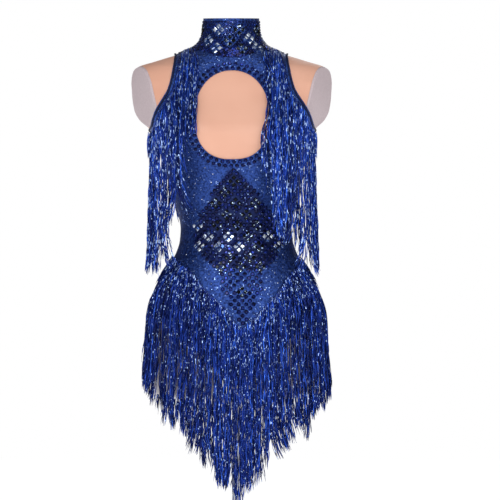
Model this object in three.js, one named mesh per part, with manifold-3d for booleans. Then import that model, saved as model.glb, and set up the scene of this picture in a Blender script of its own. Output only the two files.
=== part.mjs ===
// A rhinestone tassel bodysuit on a limbless dress form.
// Millimetres, +Z up, the front faces -Y, and the origin is the middle of the stand's underside.

import * as THREE from 'three';
import { mergeVertices } from 'three/addons/utils/BufferGeometryUtils.js';
import Module from 'manifold-3d';

const wasm = await Module();
wasm.setup();

// Driving dimensions

const clothInside = 0.6;
const clothOutside = 2.1;
const seamGap = 0.3;
const collarTop = 1041;
const formTop = 1034;
const sideSeamY = 5;
const farOut = 300;
const farLow = 200;
const farHigh = 1200;
const edgeReach = 240;
const cutOverlap = 0.01;
const columns = 36;
const sideCrowding = 1.3;
const poleZ = 325.5;
const closingShare = 0.9;

const tapeInside = 3.2;
const tapeOutside = 5.4;
const tapeWidth = 5;
const tapeSteps = 16;
const tapeGap = 0.03;
const bindingWidth = 4;
const bindingSteps = 17;
const bindingOverlap = 0.001;
const trimLift = 2.4;
const strandRadius = 1.5;
const strandClearance = 6;
const shoulderFlare = 7;
const hipFlare = 12;
const hemShift = 7;
const strandSlack = 3;
const strandPoints = 4;
const strandRootShare = 0.5;
const fallStep = 2;
const pushStep = 0.5;
const placesBetween = 12;
const shoulderTurn = { high: 838, low: 808 };
const strandCounts = { shoulderFront: 24, shoulderBack: 18, hipFront: 30, hipBack: 22 };

const baseRadius = 150;
const baseHeight = 12;
const baseEdge = { wide: 8, high: 6 };
const poleRadius = 8;
const footFlange = { radius: 26, high: 8, sloped: 16 };
const headFlange = { radius: 30, high: 6, sloped: 22 };
const turnedSides = 24;
const bridgeBottom = 281;
const bridgeReach = 130;
const bridgeHalfDepth = 30;
const thighBottom = 290;
const thighClearance = 1.5;
const plateClearance = 0.3;

// The form's surface: a row for each level, half a width and a depth to the front and the back.
// Squareness 2 is an ellipse, and more is squarer.

const sections = [
  { z: 1056, half: 53.5, front: 47, back: 61, square: 2.0 },
  { z: 1034, half: 54.0, front: 48, back: 62, square: 2.0 },
  { z: 1012, half: 55.5, front: 50, back: 65, square: 2.0 },
  { z: 996, half: 61.0, front: 53, back: 69, square: 2.0 },
  { z: 984, half: 72.5, front: 57, back: 74, square: 2.0 },
  { z: 976, half: 88.0, front: 61, back: 78, square: 2.0 },
  { z: 969, half: 106, front: 66, back: 82, square: 2.0 },
  { z: 962, half: 129, front: 71, back: 85, square: 2.05 },
  { z: 954, half: 155, front: 76, back: 88, square: 2.1 },
  { z: 945, half: 184, front: 82, back: 91, square: 2.2 },
  { z: 930, half: 204, front: 89, back: 95, square: 2.3 },
  { z: 908, half: 213, front: 97, back: 99, square: 2.4 },
  { z: 882, half: 213, front: 105, back: 102, square: 2.4 },
  { z: 858, half: 206, front: 113, back: 103, square: 2.4 },
  { z: 840, half: 189, front: 118, back: 103, square: 2.3 },
  { z: 825, half: 171, front: 122, back: 102, square: 2.2 },
  { z: 811, half: 158, front: 124, back: 100, square: 2.1 },
  { z: 792, half: 149, front: 123, back: 97, square: 2.1 },
  { z: 766, half: 143, front: 117, back: 94, square: 2.1 },
  { z: 736, half: 136, front: 108, back: 89, square: 2.1 },
  { z: 700, half: 127, front: 99, back: 83, square: 2.1 },
  { z: 660, half: 116, front: 91, back: 77, square: 2.1 },
  { z: 622, half: 109, front: 85, back: 73, square: 2.1 },
  { z: 596, half: 111, front: 86, back: 76, square: 2.1 },
  { z: 571, half: 119, front: 89, back: 84, square: 2.1 },
  { z: 546, half: 133, front: 93, back: 93, square: 2.1 },
  { z: 520, half: 146, front: 97, back: 102, square: 2.1 },
  { z: 490, half: 157, front: 100, back: 111, square: 2.1 },
  { z: 455, half: 165, front: 101, back: 116, square: 2.1 },
  { z: 420, half: 167, front: 99, back: 115, square: 2.1 },
  { z: 390, half: 163, front: 93, back: 108, square: 2.1 },
  { z: 366, half: 148, front: 82, back: 94, square: 2.1 },
  { z: 346, half: 118, front: 64, back: 73, square: 2.1 },
  { z: 333, half: 78, front: 42, back: 48, square: 2.1 },
  { z: 327, half: 34, front: 18, back: 21, square: 2.0 },
];

// Levels at which the cloth and the form have a ring of corners

const levels = [
  1056, 1012, 993, 980, 969, 959, 945, 925, 894, 862, 838, 818, 790, 756,
  712, 660, 612, 578, 545, 500, 450, 405, 368, 343, 327,
];

// The bust: one soft rise on each side of the middle

const bust = { rise: 15, z: 812, height: 50, angle: 0.62, spread: 0.42 };

// The form's middle drifts to +X from the neck down

const middles = [
  { z: 1056, x: -9.5 },
  { z: 960, x: -9.5 },
  { z: 850, x: -8 },
  { z: 748, x: -4 },
  { z: 610, x: 0.5 },
  { z: 426, x: 1.5 },
  { z: 60, x: 3 },
];

const keyhole = { z: 847.8, half: 74.3, height: 88.8, upper: 2.1, lower: 2.5, points: 36, backY: -20 };

// Distances from the middle line, with the level of each point

const neckSeamFront = [
  { out: 0, z: 957.5 },
  { out: 20, z: 958.5 },
  { out: 33, z: 961.7 },
  { out: 47, z: 968 },
  { out: 60, z: 972.8 },
  { out: 72, z: 976 },
  { out: 84, z: 978.5 },
  { out: 130, z: 979 },
];

const neckSeamBack = [
  { out: 0, z: 996.5 },
  { out: 30, z: 994.5 },
  { out: 55, z: 989 },
  { out: 72, z: 982.5 },
  { out: 84, z: 978.5 },
  { out: 130, z: 979 },
];

const armholeEdge = [
  { out: 113, z: 990 },
  { out: 113, z: 966 },
  { out: 117, z: 940 },
  { out: 122, z: 916 },
  { out: 128, z: 898 },
  { out: 136, z: 884 },
  { out: 145, z: 870 },
  { out: 154, z: 854 },
  { out: 160, z: 838 },
  { out: 164, z: 824 },
  { out: 169, z: 814 },
  { out: 178, z: 810 },
  { out: 240, z: 808 },
];

const bindingLine = [
  { out: 120, z: 967.4 },
  { out: 110, z: 966.4 },
  { out: 110.5, z: 963 },
  { out: 112, z: 954 },
  { out: 114, z: 938 },
  { out: 119, z: 915 },
  { out: 125, z: 896 },
  { out: 133, z: 881 },
  { out: 142, z: 867 },
  { out: 151, z: 851 },
  { out: 157, z: 836 },
  { out: 160, z: 825 },
  { out: 180, z: 815 },
];

const legEdgeFront = [
  { out: 240, z: 450 },
  { out: 172, z: 447 },
  { out: 150, z: 437 },
  { out: 118, z: 412 },
  { out: 82, z: 378 },
  { out: 52, z: 348 },
  { out: 36, z: 334 },
  { out: 31, z: 322 },
  { out: 31, z: 260 },
];

const legEdgeBack = [
  { out: 240, z: 450 },
  { out: 172, z: 447 },
  { out: 160, z: 424 },
  { out: 138, z: 388 },
  { out: 104, z: 356 },
  { out: 66, z: 338 },
  { out: 40, z: 331 },
  { out: 31, z: 322 },
  { out: 31, z: 260 },
];

const shoulderTape = [
  { out: 66, z: 944 },
  { out: 72, z: 953 },
  { out: 82, z: 958 },
  { out: 93, z: 958 },
  { out: 101, z: 951 },
  { out: 105, z: 936 },
  { out: 110, z: 914 },
  { out: 119, z: 890 },
  { out: 134, z: 866 },
  { out: 144, z: 848 },
  { out: 150, z: 831 },
  { out: 154, z: 817 },
  { out: 170, z: 806 },
];

// The front's V is centred to +X of the middle line, because the form is a little turned

const hipTapeFront = {
  left: [
    { out: -7, z: 421 },
    { out: 4, z: 432 },
    { out: 17, z: 447 },
    { out: 33, z: 468 },
    { out: 48, z: 482 },
    { out: 64, z: 497 },
    { out: 84, z: 526 },
    { out: 100, z: 539 },
    { out: 113, z: 549 },
    { out: 121, z: 555 },
    { out: 125, z: 559 },
    { out: 130, z: 562 },
  ],
  right: [
    { out: 14, z: 421 },
    { out: 24, z: 430 },
    { out: 35, z: 439 },
    { out: 51, z: 457 },
    { out: 65, z: 472 },
    { out: 80, z: 488 },
    { out: 93, z: 508 },
    { out: 107, z: 526 },
    { out: 119, z: 538 },
    { out: 126, z: 546 },
    { out: 128, z: 553 },
    { out: 130, z: 558 },
  ],
};

const hipTapeBack = [
  { out: 3.5, z: 421 },
  { out: 24, z: 444 },
  { out: 38, z: 463 },
  { out: 54, z: 477 },
  { out: 70, z: 491 },
  { out: 88, z: 521 },
  { out: 104, z: 534 },
  { out: 120, z: 548 },
  { out: 140, z: 563 },
];

// Where strands end, by the distance at which they hang from the hem's centre

const shoulderTips = [
  { out: 60, left: 840, right: 786, back: 700 },
  { out: 66, left: 812, right: 754, back: 690 },
  { out: 74, left: 796, right: 692, back: 680 },
  { out: 80, left: 789, right: 640, back: 672 },
  { out: 92, left: 772, right: 604, back: 658 },
  { out: 106, left: 650, right: 592, back: 642 },
  { out: 118, left: 628, right: 589, back: 626 },
  { out: 126, left: 606, right: 582, back: 610 },
  { out: 136, left: 566, right: 564, back: 568 },
  { out: 148, left: 542, right: 548, back: 546 },
  { out: 158, left: 540, right: 540, back: 540 },
  { out: 180, left: 560, right: 548, back: 548 },
];

const hipTips = [
  { out: 0, z: 80 },
  { out: 20, z: 108 },
  { out: 46, z: 124 },
  { out: 62, z: 160 },
  { out: 92, z: 184 },
  { out: 114, z: 211 },
  { out: 140, z: 232 },
  { out: 166, z: 258 },
  { out: 186, z: 282 },
  { out: 210, z: 296 },
];

const thigh = {
  out: 100,
  middleZ: 400,
  y: 2,
  half: 66,
  depth: 80,
  top: 410,
  cutTop: 420,
  corners: 24,
  endShare: 0.985,
};
const armPlate = { out: 184, z: 884, turn: 18, dip: 6, thick: 3.7 };

// A smooth curve through a table's rows that never overshoots them

function curve(rows, key, column) {
  const ordered = [...rows].sort((first, second) => first[key] - second[key]);
  const at = ordered.map((row) => row[key]);
  const value = ordered.map((row) => row[column]);
  const last = at.length - 1;
  const slope = [];
  for (let i = 0; i < last; i += 1) slope.push((value[i + 1] - value[i]) / (at[i + 1] - at[i]));
  const tangent = at.map((_, i) => {
    if (i === 0) return slope[0];
    if (i === last) return slope[last - 1];
    if (slope[i - 1] * slope[i] <= 0) return 0;
    const before = at[i] - at[i - 1];
    const after = at[i + 1] - at[i];
    const heavy = 2 * after + before;
    const light = after + 2 * before;
    return (heavy + light) / (heavy / slope[i - 1] + light / slope[i]);
  });
  return (where) => {
    if (where <= at[0]) return value[0];
    if (where >= at[last]) return value[last];
    let i = 0;
    while (at[i + 1] < where) i += 1;
    const step = at[i + 1] - at[i];
    const u = (where - at[i]) / step;
    const keep = (1 + 2 * u) * (1 - u) * (1 - u);
    const reach = u * u * (3 - 2 * u);
    const leave = u * (1 - u) * (1 - u) * step;
    const arrive = u * u * (u - 1) * step;
    return keep * value[i] + reach * value[i + 1] + leave * tangent[i] + arrive * tangent[i + 1];
  };
}

const highest = levels[0];
const lowest = levels[levels.length - 1];
const halfAt = curve(sections, 'z', 'half');
const frontAt = curve(sections, 'z', 'front');
const backAt = curve(sections, 'z', 'back');
const squareAt = curve(sections, 'z', 'square');
const middleAt = curve(middles, 'z', 'x');

// Distance of the form's surface from its middle line; angle 0 is the front and grows towards +X

function radiusAt(angle, z) {
  const across = Math.abs(Math.sin(angle)) / halfAt(z);
  const depth = Math.cos(angle) > 0 ? frontAt(z) : backAt(z);
  const along = Math.abs(Math.cos(angle)) / depth;
  const power = squareAt(z);
  const plain = (across ** power + along ** power) ** (-1 / power);
  const turned = Math.atan2(Math.sin(angle), Math.cos(angle));
  const level = Math.exp(-(((z - bust.z) / bust.height) ** 2));
  const right = Math.exp(-(((turned - bust.angle) / bust.spread) ** 2));
  const left = Math.exp(-(((turned + bust.angle) / bust.spread) ** 2));
  return plain + bust.rise * level * (left + right);
}

function bare(angle, z) {
  const radius = radiusAt(angle, z);
  return new THREE.Vector3(middleAt(z) + radius * Math.sin(angle), -radius * Math.cos(angle), z);
}

function outward(angle, z) {
  const turn = 0.02;
  const rise = 0.5;
  const around = bare(angle + turn, z).sub(bare(angle - turn, z));
  const up = bare(angle, Math.min(z + rise, highest)).sub(bare(angle, Math.max(z - rise, lowest)));
  return around.cross(up).normalize();
}

function surface(angle, z, lift) {
  return bare(angle, z).addScaledVector(outward(angle, z), lift);
}

// The angle at which the surface lies a given distance out from the middle line

function angleFor(out, z, back = false) {
  const close = 1e-10;
  let low = 0;
  let high = Math.PI / 2;
  if (out >= radiusAt(high, z)) return high;
  while (high - low > close) {
    const mid = (low + high) / 2;
    if (radiusAt(back ? Math.PI - mid : mid, z) * Math.sin(mid) < out) low = mid;
    else high = mid;
  }
  return (low + high) / 2;
}

// Solids from points

function solidFrom(positions, triangles) {
  const mesh = new wasm.Mesh({
    numProp: 3,
    vertProperties: new Float32Array(positions),
    triVerts: new Uint32Array(triangles),
  });
  return new wasm.Manifold(mesh);
}

function solidOf(geometry) {
  const plain = geometry.clone();
  plain.deleteAttribute('normal');
  plain.deleteAttribute('uv');
  const merged = mergeVertices(plain, 1e-4);
  return solidFrom(merged.attributes.position.array, merged.index.array);
}

function geometryOf(solid) {
  const mesh = solid.getMesh();
  const geometry = new THREE.BufferGeometry();
  geometry.setAttribute('position', new THREE.BufferAttribute(new Float32Array(mesh.vertProperties), 3));
  geometry.setIndex(new THREE.BufferAttribute(new Uint32Array(mesh.triVerts), 1));
  geometry.computeVertexNormals();
  return geometry;
}

// Rings of equal length, joined and closed at both ends by a fan

function tube(rings) {
  const positions = [];
  const triangles = [];
  const size = rings[0].length;
  const count = rings.length;
  rings.forEach((ring) => ring.forEach((point) => positions.push(point.x, point.y, point.z)));
  for (let row = 0; row < count - 1; row += 1) {
    for (let i = 0; i < size; i += 1) {
      const next = (i + 1) % size;
      const a = row * size + i;
      const b = row * size + next;
      const c = a + size;
      const d = b + size;
      triangles.push(a, c, b, b, c, d);
    }
  }
  for (let i = 1; i < size - 1; i += 1) {
    triangles.push(0, i, i + 1);
    const end = (count - 1) * size;
    triangles.push(end, end + i + 1, end + i);
  }
  return solidFrom(positions, triangles);
}

function loft(lift) {
  const rings = levels.map((z) => {
    const ring = [];
    for (let i = 0; i < columns; i += 1) {
      const step = (i / columns) * Math.PI * 2;
      const angle = Math.atan2(sideCrowding * Math.sin(step), Math.cos(step));
      ring.push(surface(angle, z, lift));
    }
    return ring;
  });
  const tip = new THREE.Vector3(middleAt(poleZ), 1, poleZ - lift);
  const lastRing = rings[rings.length - 1];
  const closing = lastRing.map((point) => point.clone().lerp(tip, closingShare).setZ(poleZ - lift));
  rings.push(closing);
  return tube(rings);
}

const trimSkin = loft(trimLift);

function block(x0, x1, y0, y1, z0, z1) {
  const geometry = new THREE.BoxGeometry(x1 - x0, y1 - y0, z1 - z0);
  geometry.translate((x0 + x1) / 2, (y0 + y1) / 2, (z0 + z1) / 2);
  return solidOf(geometry);
}

// A flat outline of X and Z, drawn from one depth to another

function slabOf(outline, y0, y1) {
  const shape = new THREE.Shape(outline.map((point) => new THREE.Vector2(point.x, point.z)));
  const geometry = new THREE.ExtrudeGeometry(shape, { depth: y1 - y0, bevelEnabled: false });
  geometry.rotateX(Math.PI / 2);
  geometry.translate(0, y1, 0);
  return solidOf(geometry);
}

// Cutters

function keyholeCutter() {
  const outline = [];
  for (let i = 0; i < keyhole.points; i += 1) {
    const turn = (i / keyhole.points) * Math.PI * 2;
    const up = Math.sin(turn);
    const power = up > 0 ? keyhole.upper : keyhole.lower;
    const across = Math.abs(Math.cos(turn)) / keyhole.half;
    const along = Math.abs(up) / keyhole.height;
    const radius = (across ** power + along ** power) ** (-1 / power);
    outline.push({ x: middleAt(keyhole.z) + radius * Math.cos(turn), z: keyhole.z + radius * up });
  }
  return slabOf(outline, -farOut, keyhole.backY);
}

function edgeCutter(edge, side, y0, y1, cornerZ) {
  const points = edge.map((row) => ({ x: middleAt(row.z) + side * row.out, z: row.z }));
  points.push({ x: side * edgeReach, z: cornerZ });
  return slabOf(points, y0, y1);
}

function armholeCutter(side) {
  return edgeCutter(armholeEdge, side, -farOut, farOut, armholeEdge[0].z);
}

function legCutter(side) {
  const lowZ = legEdgeFront[legEdgeFront.length - 1].z;
  const front = edgeCutter(legEdgeFront, side, -farOut, cutOverlap, lowZ);
  return front.add(edgeCutter(legEdgeBack, side, 0, farOut, lowZ));
}

// Everything above the neck seam, which dips at the front and rises at the back

function aboveLine(line, lift, y0, y1) {
  const middle = middleAt(collarTop);
  const right = line.map((row) => ({ x: middle + row.out, z: row.z + lift }));
  const left = line.slice(1).map((row) => ({ x: middle - row.out, z: row.z + lift }));
  const outline = [...left.reverse(), ...right];
  outline.push({ x: right[right.length - 1].x, z: farHigh }, { x: left[0].x, z: farHigh });
  return slabOf(outline, y0, y1);
}

function aboveNeckSeam(lift) {
  const front = aboveLine(neckSeamFront, lift, -farOut, cutOverlap);
  return front.add(aboveLine(neckSeamBack, lift, 0, farOut));
}

function thighSolid(side, grow, top) {
  const ring = (z, share) => {
    const points = [];
    for (let i = 0; i < thigh.corners; i += 1) {
      const turn = (i / thigh.corners) * Math.PI * 2;
      const x = middleAt(thigh.middleZ) + side * thigh.out + share * (thigh.half + grow) * Math.cos(turn);
      points.push(new THREE.Vector3(x, thigh.y + share * (thigh.depth + grow) * Math.sin(turn), z));
    }
    return points;
  };
  return tube([ring(top, 1), ring(thighBottom - grow, thigh.endShare)]);
}

function beyondArmPlate(side, inward) {
  const geometry = new THREE.BoxGeometry(farOut, farOut * 2, farOut * 2);
  geometry.translate(farOut / 2 - inward, 0, 0);
  geometry.rotateY(THREE.MathUtils.degToRad(armPlate.dip));
  geometry.rotateZ(THREE.MathUtils.degToRad(-armPlate.turn));
  if (side < 0) geometry.rotateZ(Math.PI + THREE.MathUtils.degToRad(2 * armPlate.turn));
  geometry.translate(middleAt(armPlate.z) + side * armPlate.out, 0, armPlate.z);
  return solidOf(geometry);
}

// Fringe

function alongPath(rows, steps, gap, back) {
  const numbered = rows.map((row, i) => ({ ...row, i }));
  const outAt = curve(numbered, 'i', 'out');
  const levelAt = curve(numbered, 'i', 'z');
  const points = [];
  for (let k = 0; k <= steps; k += 1) {
    const i = (k / steps) * (rows.length - 1);
    const out = outAt(i);
    const z = levelAt(i);
    const angle = Math.sign(out) * angleFor(Math.abs(out), z, back);
    points.push({ angle: Math.min(angle, Math.PI / 2 - gap), z });
  }
  return points;
}

function placed(point, side, back, lift) {
  const angle = back ? Math.PI - point.angle : point.angle;
  return surface(side * angle, point.z, lift);
}

function outwardTube(rings) {
  const solid = tube(rings);
  return solid.volume() > 0 ? solid : tube(rings.reverse());
}

function ribbon(points, side, back, width) {
  const last = points.length - 1;
  const rings = points.map((point, i) => {
    const low = placed(point, side, back, tapeInside);
    const high = placed(point, side, back, tapeOutside);
    const before = placed(points[Math.max(i - 1, 0)], side, back, tapeInside);
    const after = placed(points[Math.min(i + 1, last)], side, back, tapeInside);
    const normal = high.clone().sub(low).normalize();
    const across = after.sub(before).cross(normal).normalize().multiplyScalar(width / 2);
    return [
      low.clone().add(across),
      high.clone().add(across),
      high.clone().sub(across),
      low.clone().sub(across),
    ];
  });
  return outwardTube(rings);
}

function blocked(x, y, z, clear) {
  const away = x - middleAt(z);
  const distance = Math.hypot(away, y);
  const angle = Math.atan2(away, -y);
  if (z < poleZ) return false;
  const below = Math.max(z - clear, lowest);
  return distance < Math.max(radiusAt(angle, z) + clear, radiusAt(angle, below));
}

// The point of a fine path that lies furthest outside the chords between the kept points

function furthest(fine, kept) {
  const worst = { short: 0, index: 0 };
  for (let k = 0; k < kept.length - 1; k += 1) {
    const from = fine[kept[k]];
    const to = fine[kept[k + 1]];
    for (let i = kept[k] + 1; i < kept[k + 1]; i += 1) {
      const share = (fine[i].z - from.z) / (to.z - from.z);
      const short = fine[i].reach - (from.reach + share * (to.reach - from.reach));
      if (short > worst.short) Object.assign(worst, { short, index: i });
    }
  }
  return worst;
}

// How far the form has pushed a strand outwards at each level of its fall

function fallPast(root, push, bottom) {
  const fine = [{ z: root.z, reach: 0 }];
  let reach = 0;
  for (let z = root.z - fallStep; z > bottom; z -= fallStep) {
    while (blocked(root.x + push.x * reach, root.y + push.y * reach, z, strandClearance)) {
      reach += pushStep;
    }
    fine.push({ z, reach });
  }
  return fine;
}

// The level of a strand's end, which depends on how far out it hangs from the hem's own centre

function endLevel(root, push, flare, tipAt, shift) {
  const centre = middleAt(root.z) + shift;
  const fine = fallPast(root, push, tipAt(Math.abs(root.x - centre)));
  const reach = fine[fine.length - 1].reach + flare;
  return tipAt(Math.abs(root.x + push.x * reach - centre));
}

// A strand leaves its tape, lies over the form as it falls and hangs straight below it

function strandPath(root, push, bottom, flare) {
  const fine = fallPast(root, push, bottom);
  fine.forEach((point) => {
    point.reach += flare * ((root.z - point.z) / (root.z - bottom)) ** 2;
  });
  const kept = [0, fine.length - 1];
  let worst = furthest(fine, kept);
  while (worst.short > strandSlack && kept.length < strandPoints) {
    kept.push(worst.index);
    kept.sort((first, second) => first - second);
    worst = furthest(fine, kept);
  }
  const points = kept.map((i) => {
    const reachOut = fine[i].reach + (i > 0 ? worst.short : 0);
    return new THREE.Vector3(root.x + push.x * reachOut, root.y + push.y * reachOut, fine[i].z);
  });
  return points;
}

function strandSolid(path, push) {
  const sideways = new THREE.Vector3(-push.y, push.x, 0).normalize();
  const forward = new THREE.Vector3(push.x, push.y, 0).normalize();
  const rings = path.map((point, i) => {
    const size = strandRadius * (i === 0 ? strandRootShare : 1);
    return [0, 1, 2].map((corner) => {
      const turn = (corner / 3) * Math.PI * 2;
      return point
        .clone()
        .addScaledVector(sideways, size * Math.cos(turn))
        .addScaledVector(forward, size * Math.sin(turn));
    });
  });
  return outwardTube(rings);
}

// Strands are spaced evenly as they hang, seen from above, so the metric leaves out what a slope adds

function fringe(rows, side, back, count, tipAt, pushFor, flare, shift) {
  const path = alongPath(rows, tapeSteps, tapeGap, back);
  let solid = ribbon(path, side, back, tapeWidth);
  const corners = path.map((point) => placed(point, side, back, (tapeInside + tapeOutside) / 2));
  const places = [corners[0]];
  for (let i = 1; i < corners.length; i += 1) {
    for (let k = 1; k <= placesBetween; k += 1) {
      places.push(corners[i - 1].clone().lerp(corners[i], k / placesBetween));
    }
  }
  const spread = [0];
  for (let i = 1; i < places.length; i += 1) {
    const move = places[i].clone().sub(places[i - 1]);
    const push = pushFor(places[i]);
    const sideways = Math.abs(move.x * push.y - move.y * push.x);
    spread.push(spread[i - 1] + sideways);
  }
  const whole = spread[spread.length - 1];
  for (let k = 0; k < count; k += 1) {
    const wanted = ((k + 0.5) / count) * whole;
    const i = spread.findIndex((length) => length >= wanted);
    const root = places[i];
    const push = pushFor(root);
    const strand = strandPath(root, push, endLevel(root, push, flare, tipAt, shift), flare);
    solid = solid.add(strandSolid(strand, push));
  }
  return solid.subtract(trimSkin);
}

const group = new THREE.Group();

function addNode(name, geometry, finish) {
  const mesh = new THREE.Mesh(geometry, new THREE.MeshStandardMaterial(finish));
  mesh.name = name;
  group.add(mesh);
}

const clothFinish = { color: 0x2a4f9e, roughness: 0.5, metalness: 0.2 };
const bindingFinish = { color: 0x16265c, roughness: 0.6, metalness: 0.1 };
const fringeFinish = { color: 0x1c3fa8, roughness: 0.35, metalness: 0.3 };
const formFinish = { color: 0xdcae92, roughness: 0.6, metalness: 0 };
const plateFinish = { color: 0xbfb5b8, roughness: 0.6, metalness: 0 };
const metalFinish = { color: 0xc9ccd0, roughness: 0.3, metalness: 0.9 };

// The cloth

const sides = { left: -1, right: 1 };
const shell = loft(clothOutside).subtract(loft(clothInside));
const belowCollarTop = block(-farOut, farOut, -farOut, farOut, farLow, collarTop);
let body = shell.intersect(belowCollarTop);
Object.values(sides).forEach((side) => {
  body = body.subtract(armholeCutter(side)).subtract(legCutter(side));
  body = body.subtract(thighSolid(side, thighClearance, thigh.cutTop));
});
const centreBack = middleAt(700);
const halfGap = seamGap / 2;
const backSlit = block(centreBack - halfGap, centreBack + halfGap, sideSeamY, farOut, farLow, farHigh);
const collar = body.intersect(aboveNeckSeam(halfGap)).subtract(backSlit);
const bodice = body.subtract(aboveNeckSeam(-halfGap));
const frontHalf = block(-farOut, farOut, -farOut, sideSeamY - halfGap, farLow, farHigh);
const frontPanel = bodice.intersect(frontHalf).subtract(keyholeCutter());
const backLeft = block(-farOut, centreBack - halfGap, sideSeamY + halfGap, farOut, farLow, farHigh);
const backRight = block(centreBack + halfGap, farOut, sideSeamY + halfGap, farOut, farLow, farHigh);
addNode('front_panel', geometryOf(frontPanel), clothFinish);
addNode('back_left', geometryOf(bodice.intersect(backLeft)), clothFinish);
addNode('back_right', geometryOf(bodice.intersect(backRight)), clothFinish);
addNode('collar_band', geometryOf(collar), clothFinish);

// Armhole bindings

Object.entries(sides).forEach(([word, side]) => {
  const [front, behind] = [false, true].map((back) => {
    const down = alongPath(bindingLine, bindingSteps, -bindingOverlap, back);
    return ribbon(down, side, back, bindingWidth);
  });
  const ring = front.add(behind).subtract(trimSkin);
  addNode(`armhole_binding_${word}`, geometryOf(ring), bindingFinish);
});

// Fringe on the shoulders and hips

const shoulderTipAt = {
  left: curve(shoulderTips, 'out', 'left'),
  right: curve(shoulderTips, 'out', 'right'),
  back: curve(shoulderTips, 'out', 'back'),
};
const hipTipAt = curve(hipTips, 'out', 'z');

// Strands fall straight forward or back from the shoulder, and outwards under the arm

function shoulderPush(side, ahead) {
  return (root) => {
    const turn = THREE.MathUtils.smoothstep(-root.z, -shoulderTurn.high, -shoulderTurn.low);
    return new THREE.Vector2(side * turn, ahead * (1 - turn)).normalize();
  };
}

function hipPush(root) {
  return new THREE.Vector2(root.x - middleAt(root.z), root.y).normalize();
}

Object.entries(sides).forEach(([word, side]) => {
  const { shoulderFront, shoulderBack, hipFront, hipBack } = strandCounts;
  const shoulder = (back, count, tipAt, ahead) =>
    fringe(shoulderTape, side, back, count, tipAt, shoulderPush(side, ahead), shoulderFlare, 0);
  const hip = (rows, back, count, shift) =>
    fringe(rows, side, back, count, hipTipAt, hipPush, hipFlare, shift);
  const pieces = {
    shoulder_fringe_front: shoulder(false, shoulderFront, shoulderTipAt[word], -1),
    shoulder_fringe_back: shoulder(true, shoulderBack, shoulderTipAt.back, 1),
    hip_fringe_front: hip(hipTapeFront[word], false, hipFront, hemShift),
    hip_fringe_back: hip(hipTapeBack, true, hipBack, 0),
  };
  Object.entries(pieces).forEach(([name, solid]) => {
    addNode(`${name}_${word}`, geometryOf(solid), fringeFinish);
  });
});

// The form

const whole = loft(0);
let torso = whole.subtract(block(-farOut, farOut, -farOut, farOut, formTop, farHigh));
Object.entries(sides).forEach(([word, side]) => {
  const plate = whole.intersect(beyondArmPlate(side, armPlate.thick)).subtract(beyondArmPlate(side, 0));
  addNode(`arm_plate_${word}`, geometryOf(plate), plateFinish);
  torso = torso.subtract(beyondArmPlate(side, armPlate.thick + plateClearance));
  torso = torso.add(thighSolid(side, 0, thigh.top));
});
addNode('form_torso', geometryOf(torso), formFinish);

// The stand

const bridgeTop = thighBottom - plateClearance;
const bridge = block(
  -bridgeReach,
  bridgeReach,
  -bridgeHalfDepth,
  bridgeHalfDepth,
  bridgeBottom,
  bridgeTop,
);
addNode('stand_bridge', geometryOf(bridge), metalFinish);

function latheNode(name, profile) {
  const outline = profile.map(([radius, z]) => new THREE.Vector2(radius, z));
  const geometry = new THREE.LatheGeometry(outline, turnedSides);
  geometry.rotateX(Math.PI / 2);
  addNode(name, geometryOf(solidOf(geometry)), metalFinish);
}

const poleBottom = baseHeight + plateClearance;
const poleTop = bridgeBottom - plateClearance;

latheNode('stand_pole', [
  [0, poleBottom],
  [footFlange.radius, poleBottom],
  [footFlange.radius, baseHeight + footFlange.high],
  [poleRadius, baseHeight + footFlange.sloped],
  [poleRadius, bridgeBottom - headFlange.sloped],
  [headFlange.radius, bridgeBottom - headFlange.high],
  [headFlange.radius, poleTop],
  [0, poleTop],
]);

latheNode('stand_base', [
  [0, 0],
  [baseRadius, 0],
  [baseRadius, baseHeight - baseEdge.high],
  [baseRadius - baseEdge.wide, baseHeight],
  [0, baseHeight],
]);

export default group;
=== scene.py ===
# %% [markdown]
# A stage bodysuit stands on an armless dress form: glittering royal blue stretch cloth, a stand
# collar, an oval keyhole, a lattice of foiled stones down the front, and long metallic fringe
# hanging from the shoulders and from a V on the hips. The cloth, fringe and form follow the
# solids of the packed model, so everything is in its frame, in metres, with the front to -Y.

# %% Load the packed model and keep its box
import math
import bpy
import numpy as np
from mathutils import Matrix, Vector


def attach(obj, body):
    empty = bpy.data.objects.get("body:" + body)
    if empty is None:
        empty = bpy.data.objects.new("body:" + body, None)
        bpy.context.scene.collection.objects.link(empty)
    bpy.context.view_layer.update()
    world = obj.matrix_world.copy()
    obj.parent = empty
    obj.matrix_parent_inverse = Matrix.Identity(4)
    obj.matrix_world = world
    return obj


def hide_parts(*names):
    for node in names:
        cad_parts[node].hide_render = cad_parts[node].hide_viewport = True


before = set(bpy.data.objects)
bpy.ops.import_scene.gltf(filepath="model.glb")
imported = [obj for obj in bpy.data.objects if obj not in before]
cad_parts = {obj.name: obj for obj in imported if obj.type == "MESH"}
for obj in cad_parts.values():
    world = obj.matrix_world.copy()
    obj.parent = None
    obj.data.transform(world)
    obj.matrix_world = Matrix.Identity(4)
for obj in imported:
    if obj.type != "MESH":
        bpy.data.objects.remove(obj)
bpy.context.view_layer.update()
MM = 0.001
rng = np.random.default_rng(7)
print("nodes loaded:", len(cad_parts))

# %% [markdown]
# Every look here is a node tree. These two helpers add a node to a tree and feed its inputs,
# with plain values or with another node's output.


# %% Helpers for node trees
def feed(tree, node, values):
    """Sets each named input to a value, or joins it to another node's output."""
    for key, value in values.items():
        if isinstance(value, bpy.types.NodeSocket):
            tree.links.new(value, node.inputs[key])
        else:
            node.inputs[key].default_value = value


def add_node(tree, kind, values=None, **settings):
    node = tree.nodes.new(kind)
    for key, value in settings.items():
        setattr(node, key, value)
    feed(tree, node, values or {})
    return node


print("helpers ready:", feed.__name__, add_node.__name__)

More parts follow.
